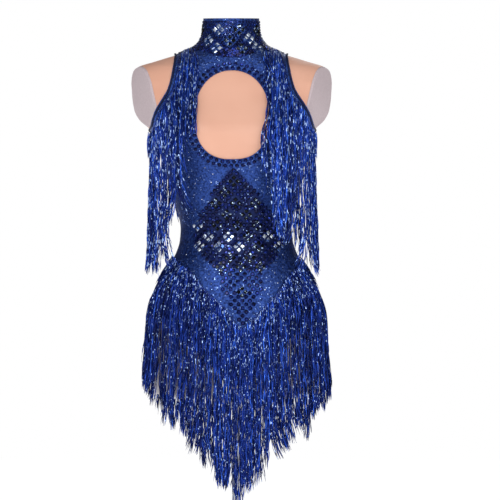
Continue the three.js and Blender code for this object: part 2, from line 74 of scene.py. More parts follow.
# %% [markdown]
# The camera comes first. The photo is a long-lens front view, 2 mm to a pixel, so the frame is
# one metre wide at the form's middle and is centred a little to the right of the stand. The
# background is plain white, so the floor and the world are almost white too, and two wide soft
# lights stand in front, to the left and right, with one above for the stones' sparkle.

# %% Camera, floor and light
CAMERA_X = 0.028
CAMERA_Z = 0.578
CAMERA_DISTANCE = 40.0
FRAME_WIDTH = 1.0
SENSOR = 36.0

camera_data = bpy.data.cameras.new("camera")
camera_data.sensor_width = SENSOR
camera_data.lens = SENSOR * CAMERA_DISTANCE / FRAME_WIDTH
camera = bpy.data.objects.new("camera", camera_data)
camera.location = (CAMERA_X, -CAMERA_DISTANCE, CAMERA_Z)
camera.rotation_euler = (math.radians(90), 0, 0)
bpy.context.collection.objects.link(camera)
bpy.context.scene.camera = camera
bpy.context.scene.view_settings.view_transform = "Standard"


def soft_light(name, place, aim, size, power):
    data = bpy.data.lights.new(name, "AREA")
    data.shape = "SQUARE"
    data.size = size
    data.energy = power
    light = bpy.data.objects.new(name, data)
    light.location = place
    light.rotation_euler = (Vector(aim) - Vector(place)).to_track_quat("-Z", "Y").to_euler()
    bpy.context.collection.objects.link(light)


FORM_MIDDLE = (0.0, 0.0, 0.65)
WORLD_AHEAD = 0.55
WORLD_BEHIND = 0.15
WORLD_COLOR = (0.95, 0.97, 1.0, 1.0)
soft_light("light_left", (-1.0, -3.8, 1.7), FORM_MIDDLE, 1.2, 34)
soft_light("light_right", (1.3, -3.7, 1.4), FORM_MIDDLE, 1.4, 20)
soft_light("light_top", (0.2, -0.9, 2.9), FORM_MIDDLE, 0.8, 8)
soft_light("light_back", (0.6, 2.8, 2.0), FORM_MIDDLE, 1.8, 14)

world = bpy.data.worlds.new("studio")
world.use_nodes = True
sky = world.node_tree
seen = sky.nodes["Background"]
feed(sky, seen, {"Color": (1.0, 1.0, 1.0, 1.0), "Strength": 1.0})
way = add_node(sky, "ShaderNodeTexCoord").outputs["Generated"]
depth = add_node(sky, "ShaderNodeSeparateXYZ", {"Vector": way}).outputs["Y"]
fade = {"From Min": -1.0, "From Max": 1.0, "To Min": WORLD_AHEAD, "To Max": WORLD_BEHIND}
strength = add_node(sky, "ShaderNodeMapRange", {"Value": depth, **fade}).outputs["Result"]
lit = add_node(sky, "ShaderNodeBackground", {"Color": WORLD_COLOR, "Strength": strength})
straight = add_node(sky, "ShaderNodeLightPath").outputs["Is Camera Ray"]
choices = {"Fac": straight, 1: lit.outputs["Background"], 2: seen.outputs["Background"]}
choice = add_node(sky, "ShaderNodeMixShader", choices).outputs["Shader"]
feed(sky, sky.nodes["World Output"], {"Surface": choice})
bpy.context.scene.world = world
print("camera lens:", camera_data.lens)

# %% [markdown]
# Materials read Object coordinates in metres, so a scale of 1000 means one step in a millimetre.
# A look is one Principled material with short ways to add noise, cells, mixes and a bump, which
# keeps every later material cell short.


# %% Helpers for materials
class Look:
    """A Principled material and short ways to add nodes to it."""

    def __init__(self, name, color, roughness, metallic=0.0):
        self.material = bpy.data.materials.new(name)
        self.material.use_nodes = True
        self.tree = self.material.node_tree
        self.shader = self.tree.nodes["Principled BSDF"]
        self.shade({"Base Color": (*color, 1.0), "Roughness": roughness, "Metallic": metallic})
        self.place = self.add("ShaderNodeTexCoord").outputs["Object"]

    def shade(self, values):
        feed(self.tree, self.shader, values)

    def add(self, kind, values=None, **settings):
        return add_node(self.tree, kind, values, **settings)

    def noise(self, scale, detail, place=None):
        where = self.place if place is None else place
        values = {"Vector": where, "Scale": scale, "Detail": detail}
        return self.add("ShaderNodeTexNoise", values).outputs["Fac"]

    def cells(self, scale):
        """A chance from 0 to 1 for each cell, and the distance from the cell's middle."""
        node = self.add("ShaderNodeTexVoronoi", {"Vector": self.place, "Scale": scale})
        split = self.add("ShaderNodeSeparateColor", {"Color": node.outputs["Color"]})
        return split.outputs["Red"], node.outputs["Distance"]

    def stored(self, name):
        """A value that is stored at each point of the mesh."""
        return self.add("ShaderNodeAttribute", attribute_name=name).outputs["Fac"]

    def reckoned(self, operation, *values, **settings):
        inputs = dict(enumerate(values))
        return self.add("ShaderNodeMath", inputs, operation=operation, **settings).outputs["Value"]

    def scaled(self, source, low, high, to_low=0.0, to_high=1.0):
        values = {"From Min": low, "From Max": high, "To Min": to_low, "To Max": to_high}
        return self.add("ShaderNodeMapRange", {"Value": source, **values}).outputs["Result"]

    def mixed(self, share, *pair):
        first, second = ((*color, 1.0) if isinstance(color, tuple) else color for color in pair)
        values = {"Factor": share, 6: first, 7: second}
        return self.add("ShaderNodeMix", values, data_type="RGBA").outputs[2]

    def ramp(self, source, stops):
        node = self.add("ShaderNodeValToRGB", {"Fac": source})
        elements = node.color_ramp.elements
        for position, color in stops[1:-1]:
            elements.new(position).color = (*color, 1.0)
        for end in (0, -1):
            elements[end].position = stops[end][0]
            elements[end].color = (*stops[end][1], 1.0)
        return node.outputs["Color"]

    def bumped(self, height, strength, distance):
        values = {"Height": height, "Strength": strength, "Distance": distance}
        self.shade({"Normal": self.add("ShaderNodeBump", values).outputs["Normal"]})


print("ways to add to a look:", len([way for way in vars(Look) if not way.startswith("_")]))


# %% [markdown]
# The floor is one plain plane under the stand. Its colour is almost the world's white, so the
# stand has a soft shadow and the background stays plain.

# %% Floor
bpy.ops.object.select_all(action="DESELECT")
bpy.ops.mesh.primitive_plane_add(size=30, location=(0, 0, 0))
floor = bpy.context.object
floor.name = "floor"
floor_look = Look("pale floor", (0.94, 0.94, 0.94), 0.9)
floor_tone = floor_look.scaled(floor_look.noise(3.0, 2.0), 0.3, 0.7)
floor_color = floor_look.mixed(floor_tone, (0.93, 0.93, 0.93), (0.95, 0.95, 0.95))
glow = {"Emission Color": (1.0, 1.0, 1.0, 1.0), "Emission Strength": 0.72}
floor_look.shade({"Base Color": floor_color, **glow})
floor.data.materials.append(floor_look.material)

# %% [markdown]
# The form's surface is the base of everything. On the real form it is one smooth torso. It could
# be sculpted, but the cloth, stones and fringe all have to lie on it, so it is a set of
# functions: at any height a rounded outline with its own half width and depths, eased from level
# to level, and one soft rise for each side of the bust. Measures here are in millimetres.

# %% The form's outline at each level
# height: half width, depth in front, depth behind, squareness (2 is an ellipse)
SECTIONS = [
    (1056, 53.5, 47, 61, 2.0), (1034, 54.0, 48, 62, 2.0), (1012, 55.5, 50, 65, 2.0),
    (996, 61.0, 53, 69, 2.0), (984, 72.5, 57, 74, 2.0), (976, 88.0, 61, 78, 2.0),
    (969, 106, 66, 82, 2.0), (962, 129, 71, 85, 2.05), (954, 155, 76, 88, 2.1),
    (945, 184, 82, 91, 2.2), (930, 204, 89, 95, 2.3), (908, 213, 97, 99, 2.4),
    (882, 213, 105, 102, 2.4), (858, 206, 113, 103, 2.4), (840, 189, 118, 103, 2.3),
    (825, 171, 122, 102, 2.2), (811, 158, 124, 100, 2.1), (792, 149, 123, 97, 2.1),
    (766, 143, 117, 94, 2.1), (736, 136, 108, 89, 2.1), (700, 127, 99, 83, 2.1),
    (660, 116, 91, 77, 2.1), (622, 109, 85, 73, 2.1), (596, 111, 86, 76, 2.1),
    (571, 119, 89, 84, 2.1), (546, 133, 93, 93, 2.1), (520, 146, 97, 102, 2.1),
    (490, 157, 100, 111, 2.1), (455, 165, 101, 116, 2.1), (420, 167, 99, 115, 2.1),
    (390, 163, 93, 108, 2.1), (366, 148, 82, 94, 2.1), (346, 118, 64, 73, 2.1),
    (333, 78, 42, 48, 2.1), (327, 34, 18, 21, 2.0),
]
# height: the middle line's X, which drifts as the form leans
MIDDLES = [(1056, -9.5), (960, -9.5), (850, -8), (748, -4), (610, 0.5), (426, 1.5), (60, 3)]
BUST_RISE = 15
BUST_HEIGHT = 812
BUST_SPREAD_UP = 50
BUST_ANGLE = 0.62
BUST_SPREAD_ROUND = 0.42
TOP_LEVEL = 1056
LOW_LEVEL = 327
POLE_LEVEL = 325.5


def curve(rows, column, key=0):
    """A smooth curve through a table's rows that never overshoots them."""
    ordered = sorted(rows, key=lambda row: row[key])
    at = np.array([row[key] for row in ordered], float)
    value = np.array([row[column] for row in ordered], float)
    gap = np.diff(at)
    slope = np.diff(value) / gap
    tangent = np.concatenate([slope[:1], np.zeros(len(at) - 2), slope[-1:]])
    for i in range(1, len(at) - 1):
        if slope[i - 1] * slope[i] > 0:
            heavy = 2 * gap[i] + gap[i - 1]
            light = gap[i] + 2 * gap[i - 1]
            tangent[i] = (heavy + light) / (heavy / slope[i - 1] + light / slope[i])

    def read(where):
        inside = np.clip(where, at[0], at[-1])
        i = np.clip(np.searchsorted(at, inside, "right") - 1, 0, len(at) - 2)
        u = (inside - at[i]) / gap[i]
        keep = (1 + 2 * u) * (1 - u) ** 2
        reach = u * u * (3 - 2 * u)
        leave = u * (1 - u) ** 2 * gap[i]
        arrive = u * u * (u - 1) * gap[i]
        return keep * value[i] + reach * value[i + 1] + leave * tangent[i] + arrive * tangent[i + 1]

    return read


def unit(rows):
    return rows / np.linalg.norm(rows, axis=-1, keepdims=True)


def wrapped(angle):
    """The same angle between half a turn back and half a turn on."""
    return np.arctan2(np.sin(angle), np.cos(angle))


half_at = curve(SECTIONS, 1)
front_at = curve(SECTIONS, 2)
back_at = curve(SECTIONS, 3)
square_at = curve(SECTIONS, 4)
middle_at = curve(MIDDLES, 1)


def radius_at(angle, z):
    """Distance of the surface from the middle line. Angle 0 is the front, growing towards +X."""
    depth = np.where(np.cos(angle) > 0, front_at(z), back_at(z))
    power = square_at(z)
    across = np.abs(np.sin(angle)) / half_at(z)
    along = np.abs(np.cos(angle)) / depth
    plain = (across**power + along**power) ** (-1 / power)
    turned = wrapped(angle)
    level = np.exp(-(((z - BUST_HEIGHT) / BUST_SPREAD_UP) ** 2))
    right = np.exp(-(((turned - BUST_ANGLE) / BUST_SPREAD_ROUND) ** 2))
    left = np.exp(-(((turned + BUST_ANGLE) / BUST_SPREAD_ROUND) ** 2))
    return plain + BUST_RISE * level * (left + right)


def bare(angle, z):
    radius = radius_at(angle, z)
    return np.stack([middle_at(z) + radius * np.sin(angle), -radius * np.cos(angle), z + 0 * angle], -1)


def outward(angle, z):
    turn = 0.02
    rise = 0.5
    around = bare(angle + turn, z) - bare(angle - turn, z)
    up = bare(angle, np.minimum(z + rise, TOP_LEVEL)) - bare(angle, np.maximum(z - rise, LOW_LEVEL))
    return unit(np.cross(around, up))


def surface(angle, z, lift):
    angle, z = np.broadcast_arrays(np.asarray(angle, float), np.asarray(z, float))
    return bare(angle, z) + outward(angle, z) * np.expand_dims(np.broadcast_to(lift, z.shape), -1)


def angle_for(out, z, back=False):
    """The angle at which the surface lies a given distance out from the middle line."""
    out, z = np.broadcast_arrays(np.asarray(out, float), np.asarray(z, float))
    low = np.zeros(z.shape)
    high = np.full(z.shape, math.pi / 2)
    beyond = out >= radius_at(high, z)
    for _ in range(40):
        middle = (low + high) / 2
        faced = math.pi - middle if back else middle
        short = radius_at(faced, z) * np.sin(middle) < out
        low = np.where(short, middle, low)
        high = np.where(short, high, middle)
    return np.where(beyond, math.pi / 2, (low + high) / 2)


print("waist half width in mm:", round(float(half_at(622)), 1))

# %% [markdown]
# A fine skin of this surface is a grid of rings. The rings are spaced by the length of the
# shoulder's and side's profile, so the flat top of the shoulder gets as many as the upright
# waist. The bottom closes to a point between the legs.

# %% Fine skins of the form
SKIN_COLUMNS = 160
SKIN_STEP = 4.6
ANGLE_SQUEEZE = 1.3
WELD = 0.02


def skin_levels(top):
    fine = np.linspace(top, LOW_LEVEL, 3000)
    side = np.hypot(np.diff(fine), np.diff(half_at(fine)))
    length = np.concatenate([[0], np.cumsum(side)])
    count = int(length[-1] / SKIN_STEP) + 1
    return np.interp(np.linspace(0, length[-1], count), length, fine)


def skin(lift, top=TOP_LEVEL, ridges=None):
    """Points and triangles of the surface at a lift, closed at the bottom and open at the top."""
    levels = skin_levels(top)
    step = np.arange(SKIN_COLUMNS) / SKIN_COLUMNS * 2 * math.pi
    around = np.arctan2(ANGLE_SQUEEZE * np.sin(step), np.cos(step))
    angle, z = np.meshgrid(around, levels)
    height = lift + (ridges(angle, z) if ridges else 0)
    points = surface(angle, z, height).reshape(-1, 3)
    tip = np.array([float(middle_at(POLE_LEVEL)), 1.0, POLE_LEVEL - lift])
    last = points[-SKIN_COLUMNS:]
    rings = [points]
    for share in (0.3, 0.6, 0.85):
        ring = last + (tip - last) * share
        ring[:, 2] = last[:, 2] + (tip[2] - last[:, 2]) * min(1, share * 1.6)
        rings.append(ring)
    points = np.concatenate(rings + [tip[None]])
    rows = len(levels) + 3
    a = np.arange(rows - 1)[:, None] * SKIN_COLUMNS + np.arange(SKIN_COLUMNS)[None]
    b = np.arange(rows - 1)[:, None] * SKIN_COLUMNS + (np.arange(SKIN_COLUMNS)[None] + 1) % SKIN_COLUMNS
    c = a + SKIN_COLUMNS
    d = b + SKIN_COLUMNS
    halves = [np.stack(half, -1).reshape(-1, 3) for half in ([a, c, b], [b, c, d])]
    end = (rows - 1) * SKIN_COLUMNS
    ring = end + np.arange(SKIN_COLUMNS)
    fan = np.stack([ring, np.full(SKIN_COLUMNS, len(points) - 1), np.roll(ring, -1)], -1)
    return points, np.concatenate([*halves, fan])


def make_piece(name, points, faces, edges=()):
    """A new object from points in millimetres."""
    mesh = bpy.data.meshes.new(name)
    mesh.from_pydata((np.asarray(points) * MM).tolist(), edges, faces)
    piece = bpy.data.objects.new(name, mesh)
    bpy.context.collection.objects.link(piece)
    return piece


def skin_piece(name, points, faces):
    piece = make_piece(name, points, faces.tolist())
    piece.data.validate()
    return piece


def work_on(piece):
    if bpy.context.mode != "OBJECT":
        bpy.ops.object.mode_set(mode="OBJECT")
    bpy.ops.object.select_all(action="DESELECT")
    piece.select_set(True)
    bpy.context.view_layer.objects.active = piece


def apply_all(piece):
    work_on(piece)
    for modifier in list(piece.modifiers):
        bpy.ops.object.modifier_apply(modifier=modifier.name)


def edit(piece, tool, **settings):
    """Runs a mesh tool on the whole of a piece in Edit Mode."""
    work_on(piece)
    bpy.ops.object.mode_set(mode="EDIT")
    bpy.ops.mesh.select_all(action="SELECT")
    tool(**settings)
    bpy.ops.object.mode_set(mode="OBJECT")


def face_out(piece):
    edit(piece, bpy.ops.mesh.remove_doubles, threshold=WELD * MM)
    edit(piece, bpy.ops.mesh.normals_make_consistent, inside=False)


def finish_piece(piece, look, replaced=(), smooth=None):
    if smooth is not None:
        work_on(piece)
        bpy.ops.object.shade_smooth_by_angle(angle=math.radians(smooth))
    piece.data.materials.clear()
    piece.data.materials.append(look.material)
    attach(piece, "root")
    if replaced:
        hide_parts(*replaced)
    triangles = sum(len(face.vertices) - 2 for face in piece.data.polygons)
    print(piece.name, "triangles:", triangles)


skin_points, skin_faces = skin(0.0)
print("skin triangles:", len(skin_faces))

# %% [markdown]
# The form itself is moulded plastic with a satin, skin-toned finish, and its arm ends are flat
# pale grey plates. It could be a plain colour, but a moulded surface has a very fine grain and
# tone that drifts slowly, so both come from noise. Below the leg openings the form is pale grey
# like its plates, which shows between the strands.

# %% Finishes of the form
PALE_BELOW = 0.452
form = Look("satin form", (0.80, 0.50, 0.36), 0.5)
form_tone = form.scaled(form.noise(6.0, 3.0), 0.35, 0.65)
form_color = form.mixed(form_tone, (0.68, 0.335, 0.225), (0.74, 0.395, 0.275))
level = form.add("ShaderNodeSeparateXYZ", {"Vector": form.place}).outputs["Z"]
leg_part = form.scaled(level, PALE_BELOW + 0.002, PALE_BELOW)
form_color = form.mixed(leg_part, form_color, (0.50, 0.47, 0.51))
form.shade({"Base Color": form_color, "Coat Weight": 0.12, "Coat Roughness": 0.35})
form.bumped(form.noise(900.0, 2.0), 0.12, 0.0003)

plates = Look("matt plate", (0.54, 0.49, 0.50), 0.6)
speckle = plates.noise(300.0, 4.0)
plate_tone = plates.scaled(speckle, 0.3, 0.7)
plates.shade({"Base Color": plates.mixed(plate_tone, (0.50, 0.40, 0.42), (0.57, 0.47, 0.49))})
plates.bumped(speckle, 0.15, 0.0004)
print("form looks:", form.material.name, plates.material.name)

# %% [markdown]
# The torso starts as the fine skin. Bisect cuts off its neck and its two arm ends and fills
# each cut, as a saw would. The plates are cut from a copy of the same skin, between two such
# planes, and bevelled. The short thigh ends are oval columns joined on by a boolean union.

# %% Torso, plates and thigh ends
FORM_TOP = 1034
PLATE_OUT = 184
PLATE_LEVEL = 884
PLATE_TURN = math.radians(18)
PLATE_DIP = math.radians(6)
PLATE_THICK = 3.7
PLATE_CLEARANCE = 0.3
THIGH_OUT = 100
THIGH_MIDDLE_LEVEL = 400
THIGH_HALF = 66
THIGH_DEPTH = 80
THIGH_TOP = 410
THIGH_BOTTOM = 290
THIGH_BACK = 2


def slice_piece(piece, point, normal, keep_below=True):
    edit(
        piece,
        bpy.ops.mesh.bisect,
        plane_co=tuple(np.asarray(point) * MM),
        plane_no=tuple(normal),
        clear_outer=keep_below,
        clear_inner=not keep_below,
        use_fill=True,
    )


def plate_normal(side):
    level = math.cos(PLATE_DIP)
    across = side * level * math.cos(PLATE_TURN)
    return np.array([across, -level * math.sin(PLATE_TURN), -math.sin(PLATE_DIP)])


def plate_point(side, inward):
    corner = np.array([float(middle_at(PLATE_LEVEL)) + side * PLATE_OUT, 0.0, PLATE_LEVEL])
    return corner - plate_normal(side) * inward


def bevel_edges(piece, width, segments, angle):
    modifier = piece.modifiers.new("edge", "BEVEL")
    modifier.width = width * MM
    modifier.segments = segments
    modifier.limit_method = "ANGLE"
    modifier.angle_limit = math.radians(angle)
    apply_all(piece)


torso = skin_piece("dress_form", skin_points, skin_faces)
slice_piece(torso, (0, 0, FORM_TOP), (0, 0, 1))
for side in (-1, 1):
    inward = PLATE_THICK + PLATE_CLEARANCE
    slice_piece(torso, plate_point(side, inward), plate_normal(side))
for side in (-1, 1):
    bpy.ops.object.select_all(action="DESELECT")
    x = float(middle_at(THIGH_MIDDLE_LEVEL)) + side * THIGH_OUT
    depth = (THIGH_TOP - THIGH_BOTTOM) * MM
    middle = (x * MM, THIGH_BACK * MM, (THIGH_TOP + THIGH_BOTTOM) / 2 * MM)
    bpy.ops.mesh.primitive_cylinder_add(vertices=96, radius=1, depth=depth, location=middle)
    column = bpy.context.object
    edit(column, bpy.ops.transform.resize, value=(THIGH_HALF * MM, THIGH_DEPTH * MM, 1))
    bpy.ops.object.transform_apply(location=True)
    bevel_edges(column, 2.5, 3, 60)
    union = torso.modifiers.new("thigh", "BOOLEAN")
    union.operation = "UNION"
    union.solver = "EXACT"
    union.object = column
    apply_all(torso)
    bpy.data.objects.remove(column)
face_out(torso)
finish_piece(torso, form, ["form_torso"], 40)

for word, side in (("left", -1), ("right", 1)):
    plate = skin_piece("arm_disc_" + word, skin_points, skin_faces)
    slice_piece(plate, plate_point(side, 0), plate_normal(side))
    slice_piece(plate, plate_point(side, PLATE_THICK), plate_normal(side), keep_below=False)
    face_out(plate)
    bevel_edges(plate, 0.8, 2, 50)
    finish_piece(plate, plates, ["arm_plate_" + word], 40)

# %% [markdown]
# The stand is brushed steel: a round base, a pole with two flanges and a flat plate under the
# thigh ends. The round parts are turned parts, so a profile is spun about the middle line. The
# grain of brushing is noise stretched along the way the brush went.

# %% Stand finish
metal = Look("brushed steel", (0.62, 0.63, 0.65), 0.32, 1.0)
stretch = metal.add("ShaderNodeMapping", {"Vector": metal.place, "Scale": (900.0, 900.0, 25.0)})
brush = metal.noise(1.0, 3.0, stretch.outputs["Vector"])
metal_tone = metal.scaled(brush, 0.3, 0.7)
metal_color = metal.mixed(metal_tone, (0.56, 0.57, 0.59), (0.68, 0.69, 0.71))
metal.shade({"Base Color": metal_color, "Roughness": metal.scaled(brush, 0.3, 0.7, 0.24, 0.42)})
metal.bumped(brush, 0.1, 0.0002)
print("metal look:", metal.material.name)

# %% Base, pole and bridge plate
SPIN_STEPS = 96
# distance from the middle line, height
BASE_PROFILE = [
    (0, 0), (148.5, 0), (150, 1.5), (150, 5), (149, 7.5), (146, 10), (142, 11.6), (138, 12),
    (0, 12),
]
POLE_PROFILE = [
    (0, 12.3), (26, 12.3), (26, 18), (25, 20), (19, 22), (12, 25), (8, 29), (8, 259), (12, 264),
    (21, 269.5), (28.5, 273.5), (30, 275), (30, 280.2), (29.5, 280.7), (0, 280.7),
]


def turned_piece(name, profile):
    points = [(radius, 0, z) for radius, z in profile]
    piece = make_piece(name, points, [], [(i, i + 1) for i in range(len(points) - 1)])
    spin = {"steps": SPIN_STEPS, "angle": 2 * math.pi}
    edit(piece, bpy.ops.mesh.spin, center=(0, 0, 0), axis=(0, 0, 1), **spin)
    face_out(piece)
    return piece


base = turned_piece("round_base", BASE_PROFILE)
finish_piece(base, metal, ["stand_base"], 30)
pole = turned_piece("round_pole", POLE_PROFILE)
finish_piece(pole, metal, ["stand_pole"], 30)

BRIDGE_REACH = 130
BRIDGE_HALF_DEPTH = 30
BRIDGE_BOTTOM = 281
BRIDGE_TOP = 289.7
BRIDGE_CORNER = 12
bpy.ops.object.select_all(action="DESELECT")
bridge_middle = (0, 0, (BRIDGE_BOTTOM + BRIDGE_TOP) / 2 * MM)
bpy.ops.mesh.primitive_cube_add(size=2, location=bridge_middle)
bridge = bpy.context.object
bridge.name = "bridge_plate"
bridge_size = (BRIDGE_REACH * MM, BRIDGE_HALF_DEPTH * MM, (BRIDGE_TOP - BRIDGE_BOTTOM) / 2 * MM)
edit(bridge, bpy.ops.transform.resize, value=bridge_size)
bpy.ops.object.transform_apply(location=True)
work_on(bridge)
bpy.ops.object.mode_set(mode="EDIT")
bpy.ops.mesh.select_mode(type="EDGE")
bpy.ops.mesh.select_all(action="DESELECT")
bpy.ops.object.mode_set(mode="OBJECT")
for edge in bridge.data.edges:
    first, second = (bridge.data.vertices[i].co for i in edge.vertices)
    edge.select = abs(first.z - second.z) > MM
bpy.ops.object.mode_set(mode="EDIT")
bpy.ops.mesh.bevel(offset=BRIDGE_CORNER * MM, segments=6)
bpy.ops.object.mode_set(mode="OBJECT")
bevel_edges(bridge, 1.2, 2, 50)
finish_piece(bridge, metal, ["stand_bridge"], 30)

# %% [markdown]
# The cloth is royal blue stretch jersey with fine glitter. Seen close, it is a fine knit whose
# loops catch light, with tiny foil dots at random. Image textures aren't needed: one noise
# gives the knit's relief, and the cells of a Voronoi pattern give each foil dot its own chance
# to shine.

# %% Cloth finish
cloth = Look("glitter stretch cloth", (0.02, 0.05, 0.2), 0.42, 0.8)
mottle = cloth.scaled(cloth.noise(260.0, 5.0), 0.36, 0.64)
# large random patches, lighter and darker: partly the cloth's own uneven tone, partly painted sheen
tone_and_sheen_patches = cloth.reckoned("MULTIPLY_ADD", cloth.noise(7.0, 2.0), 1.1, -0.55)
uneven = cloth.reckoned("ADD", tone_and_sheen_patches, mottle, use_clamp=True)
plain = cloth.mixed(uneven, (0.004, 0.014, 0.080), (0.030, 0.078, 0.33))
# painted shade: the front cloth is darkened behind the lattice, where the stones would shade it
cloth_color = cloth.mixed(cloth.stored("ground"), plain, (0.004, 0.007, 0.045))
chance, distance = cloth.cells(330.0)
lucky = cloth.scaled(chance, 0.86, 0.93)
spark = cloth.reckoned("MULTIPLY", lucky, cloth.scaled(distance, 0.42, 0.3))
cloth_color = cloth.mixed(spark, cloth_color, (0.30, 0.45, 0.85))
cloth.shade({"Base Color": cloth_color, "Roughness": cloth.scaled(spark, 0.0, 1.0, 0.46, 0.18)})
cloth.bumped(cloth.noise(850.0, 3.0), 0.35, 0.0006)
print("cloth look:", cloth.material.name)

# %% [markdown]
# The bodysuit's panels are thin shells on the form. They could be draped by simulation, but this
# garment is stretched tight on its form, so the cut decides the shape. Each panel is the fine
# skin, trimmed by its edges: the keyhole, the armholes, the high-cut legs, the neck seam, the
# side seams and the centre back. A trim is a field that is negative on the side that stays, and
# triangles that it crosses are cut exactly on the line.

# %% Edges of the panels
CLOTH_INSIDE = 0.6
CLOTH_THICK = 1.5
CLOTH_WELD = 0.25
SEAM_GAP = 0.3
COLLAR_TOP = 1041
SIDE_SEAM_Y = 5
# distance from the middle line: height of the neck seam
NECK_SEAM_FRONT = [
    (0, 957.5), (20, 958.5), (33, 961.7), (47, 968), (60, 972.8), (72, 976), (84, 978.5),
    (130, 979),
]
NECK_SEAM_BACK = [(0, 996.5), (30, 994.5), (55, 989), (72, 982.5), (84, 978.5), (130, 979)]
KEYHOLE_LEVEL = 847.8
KEYHOLE_HALF = 74.3
KEYHOLE_HEIGHT = 88.8
KEYHOLE_UPPER = 2.1
KEYHOLE_LOWER = 2.5
CENTRE_BACK = float(middle_at(700))
ARMHOLE_EDGE = [
    (113, 990), (113, 966), (117, 940), (122, 916), (128, 898), (136, 884), (145, 870),
    (154, 854), (160, 838), (164, 824), (169, 814), (178, 810), (240, 808),
]
LEG_EDGE_FRONT = [
    (240, 450), (172, 447), (150, 437), (118, 412), (82, 378), (52, 348), (36, 334), (31, 322),
    (31, 260),
]
LEG_EDGE_BACK = [
    (240, 450), (172, 447), (160, 424), (138, 388), (104, 356), (66, 338), (40, 331), (31, 322),
    (31, 260),
]

# the far corner that closes the area beyond each edge
ARMHOLE_CORNER = (240, 990)
LEG_CORNER = (240, 260)
LINE_ROOM = 0.02


def along(rows, samples):
    """Distances out and heights along a line of (out, height) with rounded corners."""
    numbered = [(i, *row) for i, row in enumerate(rows)]
    at = np.linspace(0, len(rows) - 1, samples)
    return curve(numbered, 1)(at), curve(numbered, 2)(at)


def eased(rows, steps=8):
    return np.stack(along(rows, (len(rows) - 1) * steps + 1), -1)


def outside_line(out, z, line, corner):
    """Signed distance to the area beyond a line, closed by a corner far out: positive in it."""
    loop = np.concatenate([line, [corner]])
    start = loop
    end = np.roll(loop, -1, axis=0)
    across = end - start
    from_x = out[:, None] - start[None, :, 0]
    from_z = z[:, None] - start[None, :, 1]
    share = (from_x * across[:, 0] + from_z * across[:, 1]) / (across**2).sum(1)
    share = np.clip(share, 0, 1)
    distance = np.hypot(from_x - share * across[:, 0], from_z - share * across[:, 1]).min(1)
    above = start[None, :, 1] > z[:, None]
    crosses = above != (end[None, :, 1] > z[:, None])
    slope = np.where(across[:, 1] == 0, 1e-9, across[:, 1])
    at = start[None, :, 0] + from_z * across[:, 0] / slope
    inside = ((crosses & (out[:, None] < at)).sum(1) % 2) == 1
    return np.where(inside, distance, -distance)


def trimmed(points, faces, field):
    """Keeps the mesh where the field is negative and cuts the triangles that it crosses."""
    field = np.where(np.abs(field) < LINE_ROOM, LINE_ROOM, field)
    inside = field < 0
    count = inside[faces].sum(axis=1)
    cuts = {}
    extra = []
    added = []

    def cut(a, b):
        key = (min(a, b), max(a, b))
        if key not in cuts:
            share = field[key[0]] / (field[key[0]] - field[key[1]])
            cuts[key] = len(points) + len(extra)
            extra.append(points[key[0]] + share * (points[key[1]] - points[key[0]]))
        return cuts[key]

    for face in faces[(count == 1) | (count == 2)].tolist():
        alone = [inside[corner] for corner in face]
        turn = alone.index(sum(alone) == 1)
        a, b, c = face[turn:] + face[:turn]
        if inside[a]:
            added.append((a, cut(a, b), cut(a, c)))
        else:
            added.append((cut(a, b), b, c))
            added.append((cut(a, b), c, cut(a, c)))
    kept = faces[count == 3].tolist() + added
    whole = np.concatenate([points, np.array(extra).reshape(-1, 3)])
    used, renumbered = np.unique(np.array(kept), return_inverse=True)
    return whole[used], renumbered.reshape(-1, 3)


def out_of(points):
    return points[:, 0] - middle_at(points[:, 2])


def keyhole_field(points):
    across = points[:, 0] - float(middle_at(KEYHOLE_LEVEL))
    up = points[:, 2] - KEYHOLE_LEVEL
    power = np.where(up > 0, KEYHOLE_UPPER, KEYHOLE_LOWER)
    wide = np.abs(across / KEYHOLE_HALF)
    high = np.abs(up / KEYHOLE_HEIGHT)
    ratio = (wide**power + high**power) ** (1 / power)
    return np.where(points[:, 1] < 0, (1 - ratio) * KEYHOLE_HALF, -KEYHOLE_HALF)


def armhole_field(points, side):
    out = side * out_of(points)
    return outside_line(out, points[:, 2], eased(ARMHOLE_EDGE), ARMHOLE_CORNER)


def leg_field(points, side):
    out = side * out_of(points)
    front = outside_line(out, points[:, 2], eased(LEG_EDGE_FRONT), LEG_CORNER)
    back = outside_line(out, points[:, 2], eased(LEG_EDGE_BACK), LEG_CORNER)
    return np.where(points[:, 1] < 0, front, back)


neck_front = curve(NECK_SEAM_FRONT, 1)
neck_back = curve(NECK_SEAM_BACK, 1)


def above_neck_seam(points):
    out = np.abs(points[:, 0] - float(middle_at(COLLAR_TOP)))
    return points[:, 2] - np.where(points[:, 1] < 0, neck_front(out), neck_back(out))


print("keyhole wide in mm:", 2 * KEYHOLE_HALF)
